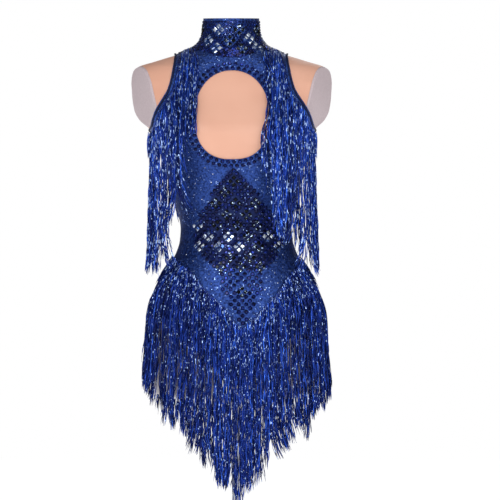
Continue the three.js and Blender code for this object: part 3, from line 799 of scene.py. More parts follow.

# %% [markdown]
# Tight cloth still has a few soft creases, where it is pulled: from the underarm towards the
# bust, across the waist at the sides, and from the hips to the crotch. Each is listed as a low
# ridge with its own length, width and height, in front, and similar ones behind.

# %% Creases
# angle, height, turn from level in degrees, length, width, height of the ridge
CREASES = [
    (1.05, 838, 62, 58, 5.0, 1.6), (1.17, 820, 48, 44, 4.5, 1.2), (-1.08, 842, -58, 66, 5.5, 1.7),
    (-1.20, 815, -40, 38, 4.0, 1.1), (0.98, 640, 12, 70, 6.0, 1.3), (1.15, 622, -6, 52, 5.0, 1.5),
    (0.86, 604, -18, 64, 6.5, 1.1), (-0.95, 634, -10, 76, 6.0, 1.4),
    (-1.18, 612, 8, 48, 5.0, 1.2), (-0.80, 598, 20, 58, 6.0, 1.0), (0.45, 566, -34, 74, 7.0, 0.9),
    (-0.48, 560, 36, 82, 7.5, 1.0), (0.50, 402, 42, 60, 6.0, 1.2),
    (-0.54, 398, -44, 66, 6.5, 1.3), (0.0, 560, 3, 46, 6.0, 0.7), (2.2, 836, -52, 60, 5.5, 1.5),
    (-2.2, 830, 50, 54, 5.0, 1.4), (2.35, 640, -10, 78, 6.0, 1.6), (2.6, 618, 8, 64, 5.5, 1.3),
    (2.3, 600, 14, 56, 6.0, 1.4), (-2.35, 636, 12, 70, 6.0, 1.5), (-2.6, 614, -6, 58, 5.0, 1.2),
    (-2.4, 594, -16, 62, 6.5, 1.3), (2.7, 880, 70, 50, 6.0, 1.0), (-2.75, 872, -66, 56, 6.0, 1.1),
    (2.6, 400, -38, 64, 7.0, 1.3), (-2.6, 404, 40, 58, 6.0, 1.2),
]
CREASE_BOW = 0.0035


def crease_height(angle, z):
    height = np.zeros(angle.shape)
    for at, level, turn, length, width, rise in CREASES:
        away = wrapped(angle - at) * float(radius_at(np.array(at), level))
        up = z - level
        lean = math.radians(turn)
        along = away * math.cos(lean) + up * math.sin(lean)
        across = up * math.cos(lean) - away * math.sin(lean)
        bow = across + CREASE_BOW * along**2
        height += rise * np.exp(-((along / (length / 2)) ** 2)) * np.exp(-((bow / width) ** 2))
    return height


cloth_points, cloth_faces = skin(CLOTH_INSIDE, TOP_LEVEL, crease_height)
print("creases:", len(CREASES))


# %% Front, backs and collar
def trim_all(*fields):
    points, faces = cloth_points, cloth_faces
    for field in fields:
        points, faces = trimmed(points, faces, field(points))
    return points, faces


def cloth_area(points, faces):
    a, b, c = (points[faces[:, i]] for i in range(3))
    return float(np.linalg.norm(np.cross(b - a, c - a), axis=1).sum() / 2) * MM * MM


def cloth_piece(name, node, points, faces):
    piece = skin_piece(name, points, faces)
    edit(piece, bpy.ops.mesh.remove_doubles, threshold=CLOTH_WELD * MM)
    wall = piece.modifiers.new("wall", "SOLIDIFY")
    wall.thickness = CLOTH_THICK * MM
    wall.offset = 1
    apply_all(piece)
    finish_piece(piece, cloth, [node], 50)
    low = points.min(axis=0)
    high = points.max(axis=0)
    print(name, "area in m2:", round(cloth_area(points, faces), 4), "size in mm:", np.round(high - low))
    return piece


half_gap = SEAM_GAP / 2
legs_and_arms = [
    lambda points: armhole_field(points, -1),
    lambda points: armhole_field(points, 1),
    lambda points: leg_field(points, -1),
    lambda points: leg_field(points, 1),
]
front_edges = [
    lambda points: points[:, 1] - (SIDE_SEAM_Y - half_gap),
    lambda points: above_neck_seam(points) + half_gap,
    *legs_and_arms,
    keyhole_field,
]
back_edges = [
    lambda points: (SIDE_SEAM_Y + half_gap) - points[:, 1],
    lambda points: above_neck_seam(points) + half_gap,
    *legs_and_arms,
]
left_edge = lambda points: points[:, 0] - (CENTRE_BACK - half_gap)
right_edge = lambda points: (CENTRE_BACK + half_gap) - points[:, 0]
front_cloth = cloth_piece("front_cloth", "front_panel", *trim_all(*front_edges))
back_cloth_left = cloth_piece("back_cloth_left", "back_left", *trim_all(*back_edges, left_edge))
back_cloth_right = cloth_piece("back_cloth_right", "back_right", *trim_all(*back_edges, right_edge))


def collar_half(side):
    """One half of the collar. The halves meet in front and stay apart at the centre back."""

    def field(points):
        apart = np.where(points[:, 1] > 0, half_gap, 0.0)
        return apart - side * (points[:, 0] - CENTRE_BACK)

    return field


collar_edges = [
    lambda points: points[:, 2] - COLLAR_TOP,
    lambda points: half_gap - above_neck_seam(points),
    lambda points: armhole_field(points, -1),
    lambda points: armhole_field(points, 1),
]
halves = [trim_all(*collar_edges, collar_half(side)) for side in (-1, 1)]
both_points = np.concatenate([points for points, _ in halves])
both_faces = np.concatenate([halves[0][1], halves[1][1] + len(halves[0][0])])
collar_cloth = cloth_piece("collar_cloth", "collar_band", both_points, both_faces)

# %% [markdown]
# A binding of dark tape finishes each armhole. It is a narrow folded strip that follows the edge
# from the shoulder's ridge down to the underarm, in front and behind. It could be a curve with a
# round bevel, but a strip that lies on the cloth needs to turn with it, so a rounded section is
# swept along the surface.

# %% Binding finish and sweep
binding = Look("binding tape", (0.012, 0.03, 0.12), 0.6)
rib = binding.noise(1100.0, 2.0)
binding_tone = binding.scaled(rib, 0.3, 0.7)
binding_color = binding.mixed(binding_tone, (0.002, 0.004, 0.025), (0.006, 0.012, 0.055))
binding.shade({"Base Color": binding_color, "Specular IOR Level": 0.2})
binding.bumped(rib, 0.4, 0.0004)

BINDING_LINE = [
    (120, 967.4), (110, 966.4), (110.5, 963), (112, 954), (114, 938), (119, 915), (125, 896),
    (133, 881), (142, 867), (151, 851), (157, 836), (160, 825), (180, 815),
]
BINDING_LIFT = 2.3
BINDING_HIGH = 2.4
BINDING_HALF_WIDTH = 1.8
BINDING_ROUNDING = 6
BINDING_STEPS = 90
BINDING_OVERLAP = 0.001
POINT_GAP = 0.4


def along_line(rows, steps, gap, back=False):
    """Angles and heights along a line of (out, height), as the solids' own tapes take them."""
    out, z = along(rows, steps + 1)
    return np.minimum(np.sign(out) * angle_for(np.abs(out), z, back), math.pi / 2 - gap), z


def sweep(middle, normals, section, closed):
    """A tube with a flat section: (across, up) corners, turned with the surface."""
    if closed:
        ahead = np.roll(middle, -1, axis=0) - np.roll(middle, 1, axis=0)
    else:
        ahead = np.gradient(middle, axis=0)
    across = unit(np.cross(ahead, normals))
    size = len(section)
    rings = [middle + across * a + normals * b for a, b in section]
    points = np.stack(rings, 1).reshape(-1, 3)
    faces = []
    count = len(middle)
    for row in range(count if closed else count - 1):
        after = (row + 1) % count
        for i in range(size):
            j = (i + 1) % size
            faces.append((row * size + i, row * size + j, after * size + j, after * size + i))
    if not closed:
        faces.append(tuple(range(size)))
        faces.append(tuple(reversed(range((count - 1) * size, count * size))))
    return points, faces


BAND_SECTION = [
    (-1.0, 0.0), (-1.0, 0.55), (-0.8, 0.9), (-0.3, 1.0), (0.3, 1.0), (0.8, 0.9), (1.0, 0.55),
    (1.0, 0.0),
]


def rounded(rows):
    return (np.roll(rows, 1, axis=0) + 2 * rows + np.roll(rows, -1, axis=0)) / 4


for word, side in (("left", -1), ("right", 1)):
    angle, z = along_line(BINDING_LINE, BINDING_STEPS, -BINDING_OVERLAP)
    back_angle, _ = along_line(BINDING_LINE, BINDING_STEPS, -BINDING_OVERLAP, True)
    ring_angle = np.concatenate([angle, math.pi - back_angle[::-1][1:-1]])
    ring_z = np.concatenate([z, z[::-1][1:-1]])
    middle = surface(side * ring_angle, ring_z, BINDING_LIFT)
    apart = np.linalg.norm(middle - np.roll(middle, 1, axis=0), axis=1) > POINT_GAP
    middle = middle[apart]
    normals = outward(side * ring_angle, ring_z)[apart]
    for _ in range(BINDING_ROUNDING):
        middle = rounded(middle)
        normals = rounded(normals)
    section = [(a * BINDING_HALF_WIDTH, b * BINDING_HIGH) for a, b in BAND_SECTION]
    trim = make_piece("armhole_trim_" + word, *sweep(middle, unit(normals), section, True))
    face_out(trim)
    finish_piece(trim, binding, ["armhole_binding_" + word], 50)

# %% [markdown]
# The fringe is metallic yarn: flat, loosely twisted strands that catch the light where they
# turn, with short silver flecks, thickest near the tape. Particle hair could make it, but it
# can't keep clear of the form and end on a chosen line, so each strand is worked out: it leaves
# its tape, lies over the form as it falls, hangs straight below it, and waves a little.

# %% Fringe finish
YARN_TONES = [
    (0.0, (0.003, 0.006, 0.05)), (0.35, (0.007, 0.020, 0.16)), (0.7, (0.018, 0.060, 0.42)),
    (1.0, (0.045, 0.16, 0.82)),
]
yarn = Look("metallic yarn", (0.03, 0.10, 0.45), 0.34, 0.85)
yarn_color = yarn.ramp(yarn.stored("tone"), YARN_TONES)
flecks = yarn.noise(1.0, 1.0, yarn.add("ShaderNodeUVMap", uv_map="yarn").outputs["UV"])
bright = yarn.reckoned("MULTIPLY_ADD", yarn.stored("silver"), 0.10, flecks)
fleck = yarn.scaled(bright, 0.665, 0.70)
yarn.shade({"Base Color": yarn.mixed(fleck, yarn_color, (0.44, 0.62, 1.0))})
yarn.bumped(yarn.noise(700.0, 2.0), 0.4, 0.0005)
print("fringe look:", yarn.material.name)

# %% Lines of the tapes and of the strands' ends
SHOULDER_TAPE = [
    (66, 950), (70, 962), (77, 971), (86, 975), (94, 972), (101, 960), (105, 938), (110, 914),
    (119, 890), (134, 866), (144, 848), (150, 831), (154, 817), (170, 806),
]
# the V in front is centred to +X of the middle line, because the form is a little turned
HIP_TAPE_LEFT = [
    (-10.2, 418.5), (4, 432), (17, 447), (33, 468), (48, 482), (64, 497), (84, 526), (100, 539),
    (113, 549), (121, 555), (125, 559), (130, 562),
]
HIP_TAPE_RIGHT = [
    (10.8, 418.5), (24, 430), (35, 439), (51, 457), (65, 472), (80, 488), (93, 508), (107, 526),
    (119, 538), (126, 546), (128, 553), (130, 558),
]
HIP_TAPE_BACK = [
    (0.4, 419), (24, 444), (38, 463), (54, 477), (70, 491), (88, 521), (104, 534), (120, 548),
    (140, 563),
]
# distance from the middle line: height of the ends at the front left, front right and back
SHOULDER_TIPS = [
    (60, 840, 786, 700), (66, 812, 754, 690), (74, 796, 692, 680), (80, 789, 640, 672),
    (92, 772, 604, 658), (106, 650, 592, 642), (118, 628, 589, 626), (126, 612, 582, 610),
    (131, 575, 574, 590), (138, 562, 562, 566), (148, 542, 548, 546), (158, 540, 540, 540),
    (180, 560, 548, 548),
]
HIP_TIPS = [
    (0, 82), (16, 108), (40, 126), (55, 162), (82, 186), (108, 214), (138, 236), (164, 262),
    (183, 289), (207, 302),
]
TAPE_LIFT = 3.2
TAPE_HIGH = 2.2
TAPE_HALF_WIDTH = 2.5
TAPE_GAP = 0.012
TAPE_STEPS = 240
TAPE_RINGS = 61
STRAND_WIDE = 1.1
STRAND_THIN = 0.5
STRAND_STEP = 11.0
TUFT_WIDTH = 19.0
TUFT_LENGTH = 110.0
HEM_SHIFT = 10
# how far from a tuft's end its strands draw together and swing aside as one
TAIL_LENGTH = 60.0
# how the innermost strands swing outwards: fall, offset
SHOULDER_SWINGS = {
    "left": ((0, 20, 50, 96, 154, 400), (0, -1, 1, 4, 11, 14)),
    "right": ((0, 38, 94, 152, 172, 210, 266, 400), (0, 8, 7, -5, -6, 2, 8, 8)),
}
STRAIGHT = ((0, 400), (0, 0))
SHORT_SHARE = 0.3
FALL_STEP = 4.0
# the sizes and lengths that a strand's slow and quick waves are drawn from
SLOW_WAVE = (0.5, 1.9)
SLOW_LENGTHS = (60, 130)
QUICK_WAVE = (0.3, 1.0)
QUICK_LENGTH = 37
WAVE_LIFT = 1.2
TWIST_LENGTHS = (26, 60)
SILVER_FADE = 55
FLECK_SHIFT = 3.7
SHOULDER_FLARE = 7
HIP_FLARE = 12


def blocked(x, y, z, clear):
    away = x - middle_at(z)
    distance = np.hypot(away, y)
    angle = np.arctan2(away, -y)
    below = np.maximum(z - clear, LOW_LEVEL)
    wall = np.maximum(radius_at(angle, z) + clear, radius_at(angle, below))
    return (z >= POLE_LEVEL) & (distance < wall)


def falling_reach(root, push, bottom, clear):
    """How far out each strand has been pushed at each step of its fall."""
    steps = int((root[:, 2] - bottom).max() / FALL_STEP) + 2
    reach = np.zeros(len(root))
    rows = [reach.copy()]
    for k in range(1, steps):
        z = root[:, 2] - k * FALL_STEP
        room = clear * min(1, 0.45 + 0.55 * k * FALL_STEP / 80)
        for _ in range(400):
            hit = blocked(root[:, 0] + push[:, 0] * reach, root[:, 1] + push[:, 1] * reach, z, room)
            if not hit.any():
                break
            reach = reach + 0.5 * hit
        rows.append(reach.copy())
    rows = np.array(rows)
    padded = np.concatenate([rows[:1], rows, rows[-1:]])
    for _ in range(4):
        padded[1:-1] = np.maximum(padded[1:-1], (padded[:-2] + padded[1:-1] * 2 + padded[2:]) / 4)
    return padded[1:-1]


def hung_out(root, push, bottom, clear, flare, shift):
    """Each strand's distance from the hem's centre at its end, for a first guess of its level."""
    reach = falling_reach(root, push, bottom, clear)
    step = np.minimum((root[:, 2] - bottom) / FALL_STEP, len(reach) - 1).astype(int)
    out = reach[step, np.arange(len(root))] + flare
    return np.abs(root[:, 0] + push[:, 0] * out - middle_at(root[:, 2]) - shift)


def strand_mesh(root, push, bottom, clear, swing, shine, own):
    """One flat twisted strand for each root, as points, uv rows, tones, silver and faces.

    A row of own is one strand's flare, width, tone, lean, gather, tail, settling fall and share
    of the swing.
    """
    reach = falling_reach(root, push, bottom, clear)
    silver, fleck_length, _ = shine
    all_points, all_faces, all_uv, all_tones, all_silver = [], [], [], [], []
    start = 0
    for i, (flare, wide, tone, lean, gather, tail, settle, inner) in enumerate(own):
        drop = root[i, 2] - bottom[i]
        count = max(6, int(drop / STRAND_STEP))
        share = np.linspace(0, 1, count + 1)
        fall = share * drop
        out = np.interp(fall / FALL_STEP, np.arange(len(reach)), reach[:, i])
        out = out + flare * share**2
        loose = np.clip(fall / settle, 0, 1)
        phase = rng.uniform(0, 2 * math.pi, 3)
        length = rng.uniform(*SLOW_LENGTHS, 2)
        sway = rng.uniform(*SLOW_WAVE) * np.sin(fall / length[0] * 2 * math.pi + phase[0])
        quick = rng.uniform(*QUICK_WAVE)
        sway = sway + quick * np.sin(fall / QUICK_LENGTH * 2 * math.pi + phase[1])
        near_end = np.clip(1 - (drop - fall) / TUFT_LENGTH, 0, 1)
        sway = sway + lean * share**2 + gather * (0.35 * share + 0.65 * near_end**2)
        last = np.clip(1 - (drop - fall) / TAIL_LENGTH, 0, 1)
        sway = sway + inner * np.interp(fall, *swing) + tail * last**2
        lift = WAVE_LIFT * (1 + np.sin(fall / length[1] * 2 * math.pi + phase[2]))
        out = out + lift * loose
        sideways = np.array([-push[i, 1], push[i, 0], 0.0])
        forward = np.array([push[i, 0], push[i, 1], 0.0])
        middle = root[i] + forward * out[:, None] + sideways * (sway * loose)[:, None]
        middle[:, 2] = root[i, 2] - fall
        spin = rng.uniform(0, math.pi) + fall / rng.uniform(*TWIST_LENGTHS) * math.pi
        size = np.minimum(1, 0.45 + 4 * share) * np.minimum(1, (1 - share) * drop / 12 + 0.25)
        flat = sideways * np.cos(spin)[:, None] + forward * np.sin(spin)[:, None]
        thin = forward * np.cos(spin)[:, None] - sideways * np.sin(spin)[:, None]
        flat = flat * (wide * size)[:, None]
        thin = thin * (STRAND_THIN * size)[:, None]
        ring = np.stack([middle + flat, middle + thin, middle - flat, middle - thin], 1)
        all_points.append(ring.reshape(-1, 3))
        row = start + np.arange(count)[:, None] * 4
        side = np.arange(4)[None]
        after = (side + 1) % 4
        quads = np.stack([row + side, row + side + 4, row + after + 4, row + after], -1)
        all_faces.extend(map(tuple, quads.reshape(-1, 4).tolist()))
        end = start + count * 4
        all_faces.append((start, start + 1, start + 2, start + 3))
        all_faces.append((end + 3, end + 2, end + 1, end))
        uv = np.stack([np.full(count + 1, i * FLECK_SHIFT), fall / fleck_length], -1)
        all_uv.append(np.repeat(uv, 4, axis=0))
        all_tones.append(np.full((count + 1) * 4, tone))
        all_silver.append(np.repeat(silver + (1 - silver) * np.exp(-fall / SILVER_FADE), 4))
        start += (count + 1) * 4
    rows = [np.concatenate(part) for part in (all_points, all_uv, all_tones, all_silver)]
    return rows, all_faces


shoulder_tips = {word: curve(SHOULDER_TIPS, i) for i, word in enumerate(("left", "right", "back"), 1)}
hip_tip = curve(HIP_TIPS, 1)


def shoulder_push(side, ahead):
    def push(root):
        turn = np.clip((838 - root[:, 2]) / 30, 0, 1)
        turn = turn * turn * (3 - 2 * turn)
        return unit(np.stack([side * turn, ahead * (1 - turn)], -1))

    return push


def hip_push(root):
    return unit(np.stack([out_of(root), root[:, 1]], -1))


def fringe_piece(
    name, node, rows, side, back, count, tip_at, push_for, flare, ragged, shine, shift, swing
):
    angle, z = along_line(rows, TAPE_STEPS, TAPE_GAP, back)
    turned = side * (math.pi - angle if back else angle)
    middle = surface(turned, z, TAPE_LIFT)
    normals = outward(turned, z)
    section = [(a * TAPE_HALF_WIDTH, b * TAPE_HIGH) for a, b in BAND_SECTION]
    picks = np.linspace(0, TAPE_STEPS, TAPE_RINGS).astype(int)
    tape_points, tape_faces = sweep(middle[picks], normals[picks], section, False)
    push = push_for(middle)
    move = np.diff(middle, axis=0)
    sideways = np.abs(move[:, 0] * push[1:, 1] - move[:, 1] * push[1:, 0])
    sideways = sideways + 0.12 * np.linalg.norm(move, axis=1)
    spread = np.concatenate([[0], np.cumsum(sideways)])
    wanted = (np.arange(count) + rng.uniform(0.1, 0.9, count)) / count * spread[-1]
    short = rng.uniform(0, 1, count) < SHORT_SHARE
    index = np.clip(np.searchsorted(spread, wanted), 0, TAPE_STEPS)
    layer = np.where(short, 3, rng.integers(0, 3, count))
    lift = TAPE_LIFT + 0.6 + layer * 0.8
    fuzzy = np.where(short, rng.uniform(0, 6, count), rng.uniform(-1, 3, count))
    root = surface(turned[index], z[index] + fuzzy, lift)
    way = push_for(root)
    clear = 4.2 + layer * 2.0 + rng.uniform(0, 1.6, count)
    out = np.abs(root[:, 0] - middle_at(root[:, 2]) - shift)
    flared = np.where(short, 0, flare * np.clip(out / 80, 0, 1))
    hung = hung_out(root, way, tip_at(out), clear, flared, shift)
    tufts = np.cumsum(rng.uniform(0.6, 1.4, int(spread[-1] / TUFT_WIDTH) + 2)) * TUFT_WIDTH
    tufts = tufts[tufts < spread[-1] + TUFT_WIDTH] - TUFT_WIDTH * 0.5
    centre = spread[np.abs(middle[:, 0]).argmin()]
    tufts = tufts + centre - tufts[np.abs(tufts - centre).argmin()]
    nearest = np.abs(wanted[:, None] - tufts).argmin(1)
    aside = tufts[nearest] - wanted
    levels = rng.normal(0, ragged, len(tufts))[nearest]
    scatter = 1.3 * np.abs(aside) + rng.exponential(ragged * 0.8, count) - ragged
    bottom = tip_at(hung) + levels + scatter
    bottom = np.where(short, root[:, 2] - rng.uniform(22, 60, count), bottom)
    wide = STRAND_WIDE * rng.uniform(0.75, 1.15, count)
    tones = np.clip(rng.normal(shine[2], 0.24, count) + 0.06 * (layer - 1), 0, 1)
    lean = rng.normal(0, np.where(short, 7, 3.5))
    along = np.sign(-way[:, 1] * move[index - 1, 0] + way[:, 0] * move[index - 1, 1])
    gather = np.where(short, 0, aside * along * rng.uniform(0.6, 1.0, count))
    gather = gather * np.clip(0.3 + out / 70, 0, 1)
    tail = rng.normal(0, 8, len(tufts))[nearest] * np.clip(out / 30, 0.2, 1)
    tail = np.where(short, 0, tail + rng.normal(0, 3.2, count))
    settle = np.where(short, 20, 120)
    inner = side * np.clip((96 - out) / 26, 0, 1)
    own = np.stack([flared, wide, tones, lean, gather, tail, settle, inner], -1)
    strands, faces = strand_mesh(root, way, bottom, clear, swing, shine, own)
    points, uv, tone_rows, silver_rows = strands
    faces += [tuple(corner + len(points) for corner in face) for face in tape_faces]
    uv = np.concatenate([uv, tape_points[:, [0, 2]]])
    tone_rows = np.concatenate([tone_rows, np.full(len(tape_points), 0.2)])
    silver_rows = np.concatenate([silver_rows, np.zeros(len(tape_points))])
    piece = make_piece(name, np.concatenate([points, tape_points]), faces)
    mesh = piece.data
    layer_uv = mesh.uv_layers.new(name="yarn")
    corners = np.zeros(len(mesh.loops), int)
    mesh.loops.foreach_get("vertex_index", corners)
    layer_uv.data.foreach_set("uv", uv[corners].ravel())
    for word, values in (("tone", tone_rows), ("silver", silver_rows)):
        attribute = mesh.attributes.new(word, "FLOAT", "POINT")
        attribute.data.foreach_set("value", values)
    edit(piece, bpy.ops.mesh.normals_make_consistent, inside=False)
    finish_piece(piece, yarn, [node])
    return piece


# %% Fringe on the shoulders and hips
SHOULDER_FRONT_COUNT = 270
SHOULDER_BACK_COUNT = 180
HIP_FRONT_COUNT = 480
HIP_BACK_COUNT = 370
# flare, raggedness of the ends, then share of silver along the strand, flecks' length and tone
SHOULDER_KIND = (SHOULDER_FLARE, 9, (0.65, 11.0, 0.48))
HIP_KIND = (HIP_FLARE, 11, (0.12, 7.5, 0.36))
for word, side in (("left", -1), ("right", 1)):
    ahead = shoulder_push(side, -1)
    behind = shoulder_push(side, 1)
    hip_tape = HIP_TAPE_LEFT if side < 0 else HIP_TAPE_RIGHT
    front_plan = (SHOULDER_TAPE, side, False, SHOULDER_FRONT_COUNT, shoulder_tips[word], ahead)
    back_plan = (SHOULDER_TAPE, side, True, SHOULDER_BACK_COUNT, shoulder_tips["back"], behind)
    hip_plan = (hip_tape, side, False, HIP_FRONT_COUNT, hip_tip, hip_push)
    seat_plan = (HIP_TAPE_BACK, side, True, HIP_BACK_COUNT, hip_tip, hip_push)
    plans = [
        ("shoulder", "front", front_plan, SHOULDER_KIND, 0, SHOULDER_SWINGS[word]),
        ("shoulder", "back", back_plan, SHOULDER_KIND, 0, STRAIGHT),
        ("hip", "front", hip_plan, HIP_KIND, HEM_SHIFT, STRAIGHT),
        ("hip", "back", seat_plan, HIP_KIND, 0, STRAIGHT),
    ]
    for place_word, face_word, plan, kind, shift, swing in plans:
        name = f"{place_word}_strands_{face_word}_{word}"
        node = f"{place_word}_fringe_{face_word}_{word}"
        fringe_piece(name, node, *plan, *kind, shift, swing)

# %% [markdown]
# The stones are foiled glass in three colours: sapphire, clear light blue and black. A real one
# has a flat table, a sloping crown and a low girdle. Each kind is modelled once, with eight
# sides or with four, and then copied by array onto the cloth, each with its own small turn.

# %% One round and one square stone
def stone_shape(sides, table, crown, girdle):
    bpy.ops.object.select_all(action="DESELECT")
    bpy.ops.mesh.primitive_cone_add(vertices=sides, radius1=0.5, radius2=table, depth=crown)
    stone = bpy.context.object
    bpy.ops.object.mode_set(mode="EDIT")
    bpy.ops.mesh.select_mode(type="FACE")
    bpy.ops.mesh.select_all(action="DESELECT")
    bpy.ops.object.mode_set(mode="OBJECT")
    for face in stone.data.polygons:
        face.select = face.normal.z < -0.9
    bpy.ops.object.mode_set(mode="EDIT")
    bpy.ops.mesh.extrude_region_move(TRANSFORM_OT_translate={"value": (0, 0, -girdle)})
    bpy.ops.object.mode_set(mode="OBJECT")
    points = np.array([tuple(vertex.co) for vertex in stone.data.vertices])
    points[:, 2] += crown / 2 + girdle
    faces = [tuple(face.vertices) for face in stone.data.polygons]
    bpy.data.objects.remove(stone)
    return points, faces


ROUND_STONE = stone_shape(8, 0.29, 0.2, 0.16)
SQUARE_STONE = stone_shape(4, 0.32, 0.13, 0.13)
print("faces of a round stone:", len(ROUND_STONE[1]))


# %% Finishes of the stones
def stone_look(name, dark, bright, metallic, roughness, cell, rare):
    look = Look(name, dark, roughness, metallic)
    chance, _ = look.cells(cell)
    # bright cells painted on the stones stand in for glints on their facets: painted highlights
    color = look.mixed(look.scaled(chance, rare, 0.95), dark, bright)
    look.shade({"Base Color": color, "Coat Weight": 0.12, "Coat Roughness": 0.03})
    return look


# dark colour, painted glint colour, metallic, roughness, cells' scale and the chance below which cells
# stay dark; the clear stones' pale cells are partly their own pale colour, partly painted glints
BLUE_STONE = ((0.002, 0.003, 0.03), (0.004, 0.020, 0.19), 0.85, 0.14, 240.0, 0.30)
CLEAR_STONE = ((0.03, 0.08, 0.26), (0.88, 0.95, 1.0), 0.75, 0.12, 170.0, 0.30)
BLACK_STONE = ((0.002, 0.003, 0.005), (0.60, 0.78, 1.0), 0.9, 0.14, 330.0, 0.80)
blue_look = stone_look("sapphire stone", *BLUE_STONE)
clear_look = stone_look("clear stone", *CLEAR_STONE)
black_look = stone_look("black stone", *BLACK_STONE)
print("stone looks:", len([blue_look, clear_look, black_look]))


# %% Placing stones on the cloth
STONE_LIFT = CLOTH_INSIDE + CLOTH_THICK - 0.2
STONE_TILT = 0.05


class StoneSet:
    """Places gathered for one colour, turned into one mesh at the end."""

    def __init__(self):
        self.rows = {}

    def add(self, shape, angle, z, size, turn):
        rows = np.stack(np.broadcast_arrays(angle, z, size, turn), -1).reshape(-1, 4)
        self.rows.setdefault(id(shape), (shape, []))[1].append(rows)

    def piece(self, name, look, slot):
        points, faces, start = [], [], 0
        for shape, parts in self.rows.values():
            base, base_faces = shape
            angle, z, size, turn = np.concatenate(parts).T
            spot = surface(angle, z, STONE_LIFT)[:, None]
            normal = unit(outward(angle, z) + rng.normal(0, STONE_TILT, (len(angle), 3)))
            level = unit(np.cross((0, 0, 1.0), normal))
            upright = np.cross(normal, level)
            lean = np.stack([np.cos(turn), np.sin(turn)], -1)
            first = (level * lean[:, :1] + upright * lean[:, 1:])[:, None]
            second = (upright * lean[:, :1] - level * lean[:, 1:])[:, None]
            flat = base[None, :, :1] * first + base[None, :, 1:2] * second
            placed = spot + size[:, None, None] * (flat + base[None, :, 2:] * normal[:, None])
            points.append(placed.reshape(-1, 3))
            for i in range(len(angle)):
                shift = start + i * len(base)
                faces.extend(tuple(corner + shift for corner in face) for face in base_faces)
            start += len(angle) * len(base)
        piece = make_piece(name, np.concatenate(points), faces)
        finish_piece(piece, look)
        return piece


def front_angle(x, z):
    out = x - middle_at(z)
    return np.sign(out) * angle_for(np.abs(out), z)


blue_stones = StoneSet()
clear_stones = StoneSet()
black_stones = StoneSet()

# %% [markdown]
# Two staggered rows of round sapphire stones edge the keyhole. They are stepped along the oval
# by equal lengths, so the gaps match all the way round.

# %% Stones round the keyhole
RIM_PITCH = 11.6
RIM_ROWS = [(4.2, 0.0), (12.2, 0.5)]
RIM_STONE = 8.0
turns = np.linspace(0, 2 * math.pi, 721)


def keyhole_point(turn, grow):
    up = np.sin(turn)
    power = np.where(up > 0, KEYHOLE_UPPER, KEYHOLE_LOWER)
    across = np.abs(np.cos(turn)) / (KEYHOLE_HALF + grow)
    along = np.abs(up) / (KEYHOLE_HEIGHT + grow)
    radius = (across**power + along**power) ** (-1 / power)
    return float(middle_at(KEYHOLE_LEVEL)) + radius * np.cos(turn), KEYHOLE_LEVEL + radius * up


rim_total = 0
for grow, offset in RIM_ROWS:
    x, z = keyhole_point(turns, grow)
    line = surface(front_angle(x, z), z, STONE_LIFT)
    length = np.concatenate([[0], np.cumsum(np.linalg.norm(np.diff(line, axis=0), axis=1))])
    number = int(length[-1] / RIM_PITCH)
    at = (np.arange(number) + offset) / number * length[-1]
    stone_x, stone_z = keyhole_point(np.interp(at, length, turns), grow)
    turned = rng.uniform(0, 1, number)
    blue_stones.add(ROUND_STONE, front_angle(stone_x, stone_z), stone_z, RIM_STONE, turned)
    rim_total += number
print("rim stones:", rim_total)

# %% [markdown]
# Down the front the stones stand in a diamond lattice, each row half a step aside from the last.
# It is narrow under the keyhole, widest over the waist and comes to a point in the fringe's V.
# The squares of four that break it up are set turned by 45 degrees, clear or black.

# %% Lattice on the front
# height: X of the lattice's centre line
CENTRE_FRONT = [
    (850, -8), (748, -5), (716, -4), (650, 1), (586, 6), (494, 12), (421, 14),
]
centre_front = curve(CENTRE_FRONT, 1)
# height: half width of the lattice
LATTICE_WIDTH = [
    (738, 12), (716, 28), (698, 42), (678, 54), (658, 64), (638, 80), (618, 88), (598, 90),
    (578, 84), (562, 70), (546, 56), (534, 46), (514, 41), (494, 38), (478, 28), (462, 22),
    (446, 9),
]
# top, bottom, step between columns, step between rows, stone
LATTICE_PARTS = [(738, 538, 13.0, 6.87, 8.6), (537, 428, 15.0, 7.5, 8.6)]
lattice_half = curve(LATTICE_WIDTH, 1)
CLUSTER_SPREAD = 7.0
CLUSTER_STONE = 9.8
CLUSTER_ROOM = 10.5
CLUSTER_COLUMN = 39.0
# levels between which the cloth behind the lattice is painted darker, as painted shade between the
# stones, how fast, and how much
LATTICE_SHADE_LOW = 536
LATTICE_SHADE_HIGH = 742
LATTICE_SHADE_EASE = 10
LATTICE_SHADE_SIDE_EASE = 6
PAINTED_SHADE_STRENGTH = 0.85
# height and column of each cluster, and whether it is clear
CLUSTERS = [
    (716, 0, False), (694, -0.5, False), (672, -1, False), (672, 0, False), (672, 1, False),
    (649, -0.5, False), (649, 0.5, False), (627, -2, True), (627, -1, False), (627, 0, False),
    (627, 1, False), (605, -1.5, True), (605, -0.5, True), (605, 0.5, False), (605, 1.5, True),
    (585, -2, True), (585, -1, True), (585, 0, True), (585, 1, False), (585, 2, True),
    (562, -0.5, False), (562, 0.5, False), (544, -1, False), (544, 0, False), (544, 1, False),
    (494, 0, False),
]
DIAMOND = np.array([(1, 0), (0, 1), (-1, 0), (0, -1)], float)


def cluster(x, z, chosen):
    spots = np.array([x, z]) + DIAMOND * CLUSTER_SPREAD
    chosen.add(SQUARE_STONE, front_angle(spots[:, 0], spots[:, 1]), spots[:, 1], CLUSTER_STONE, 0.0)


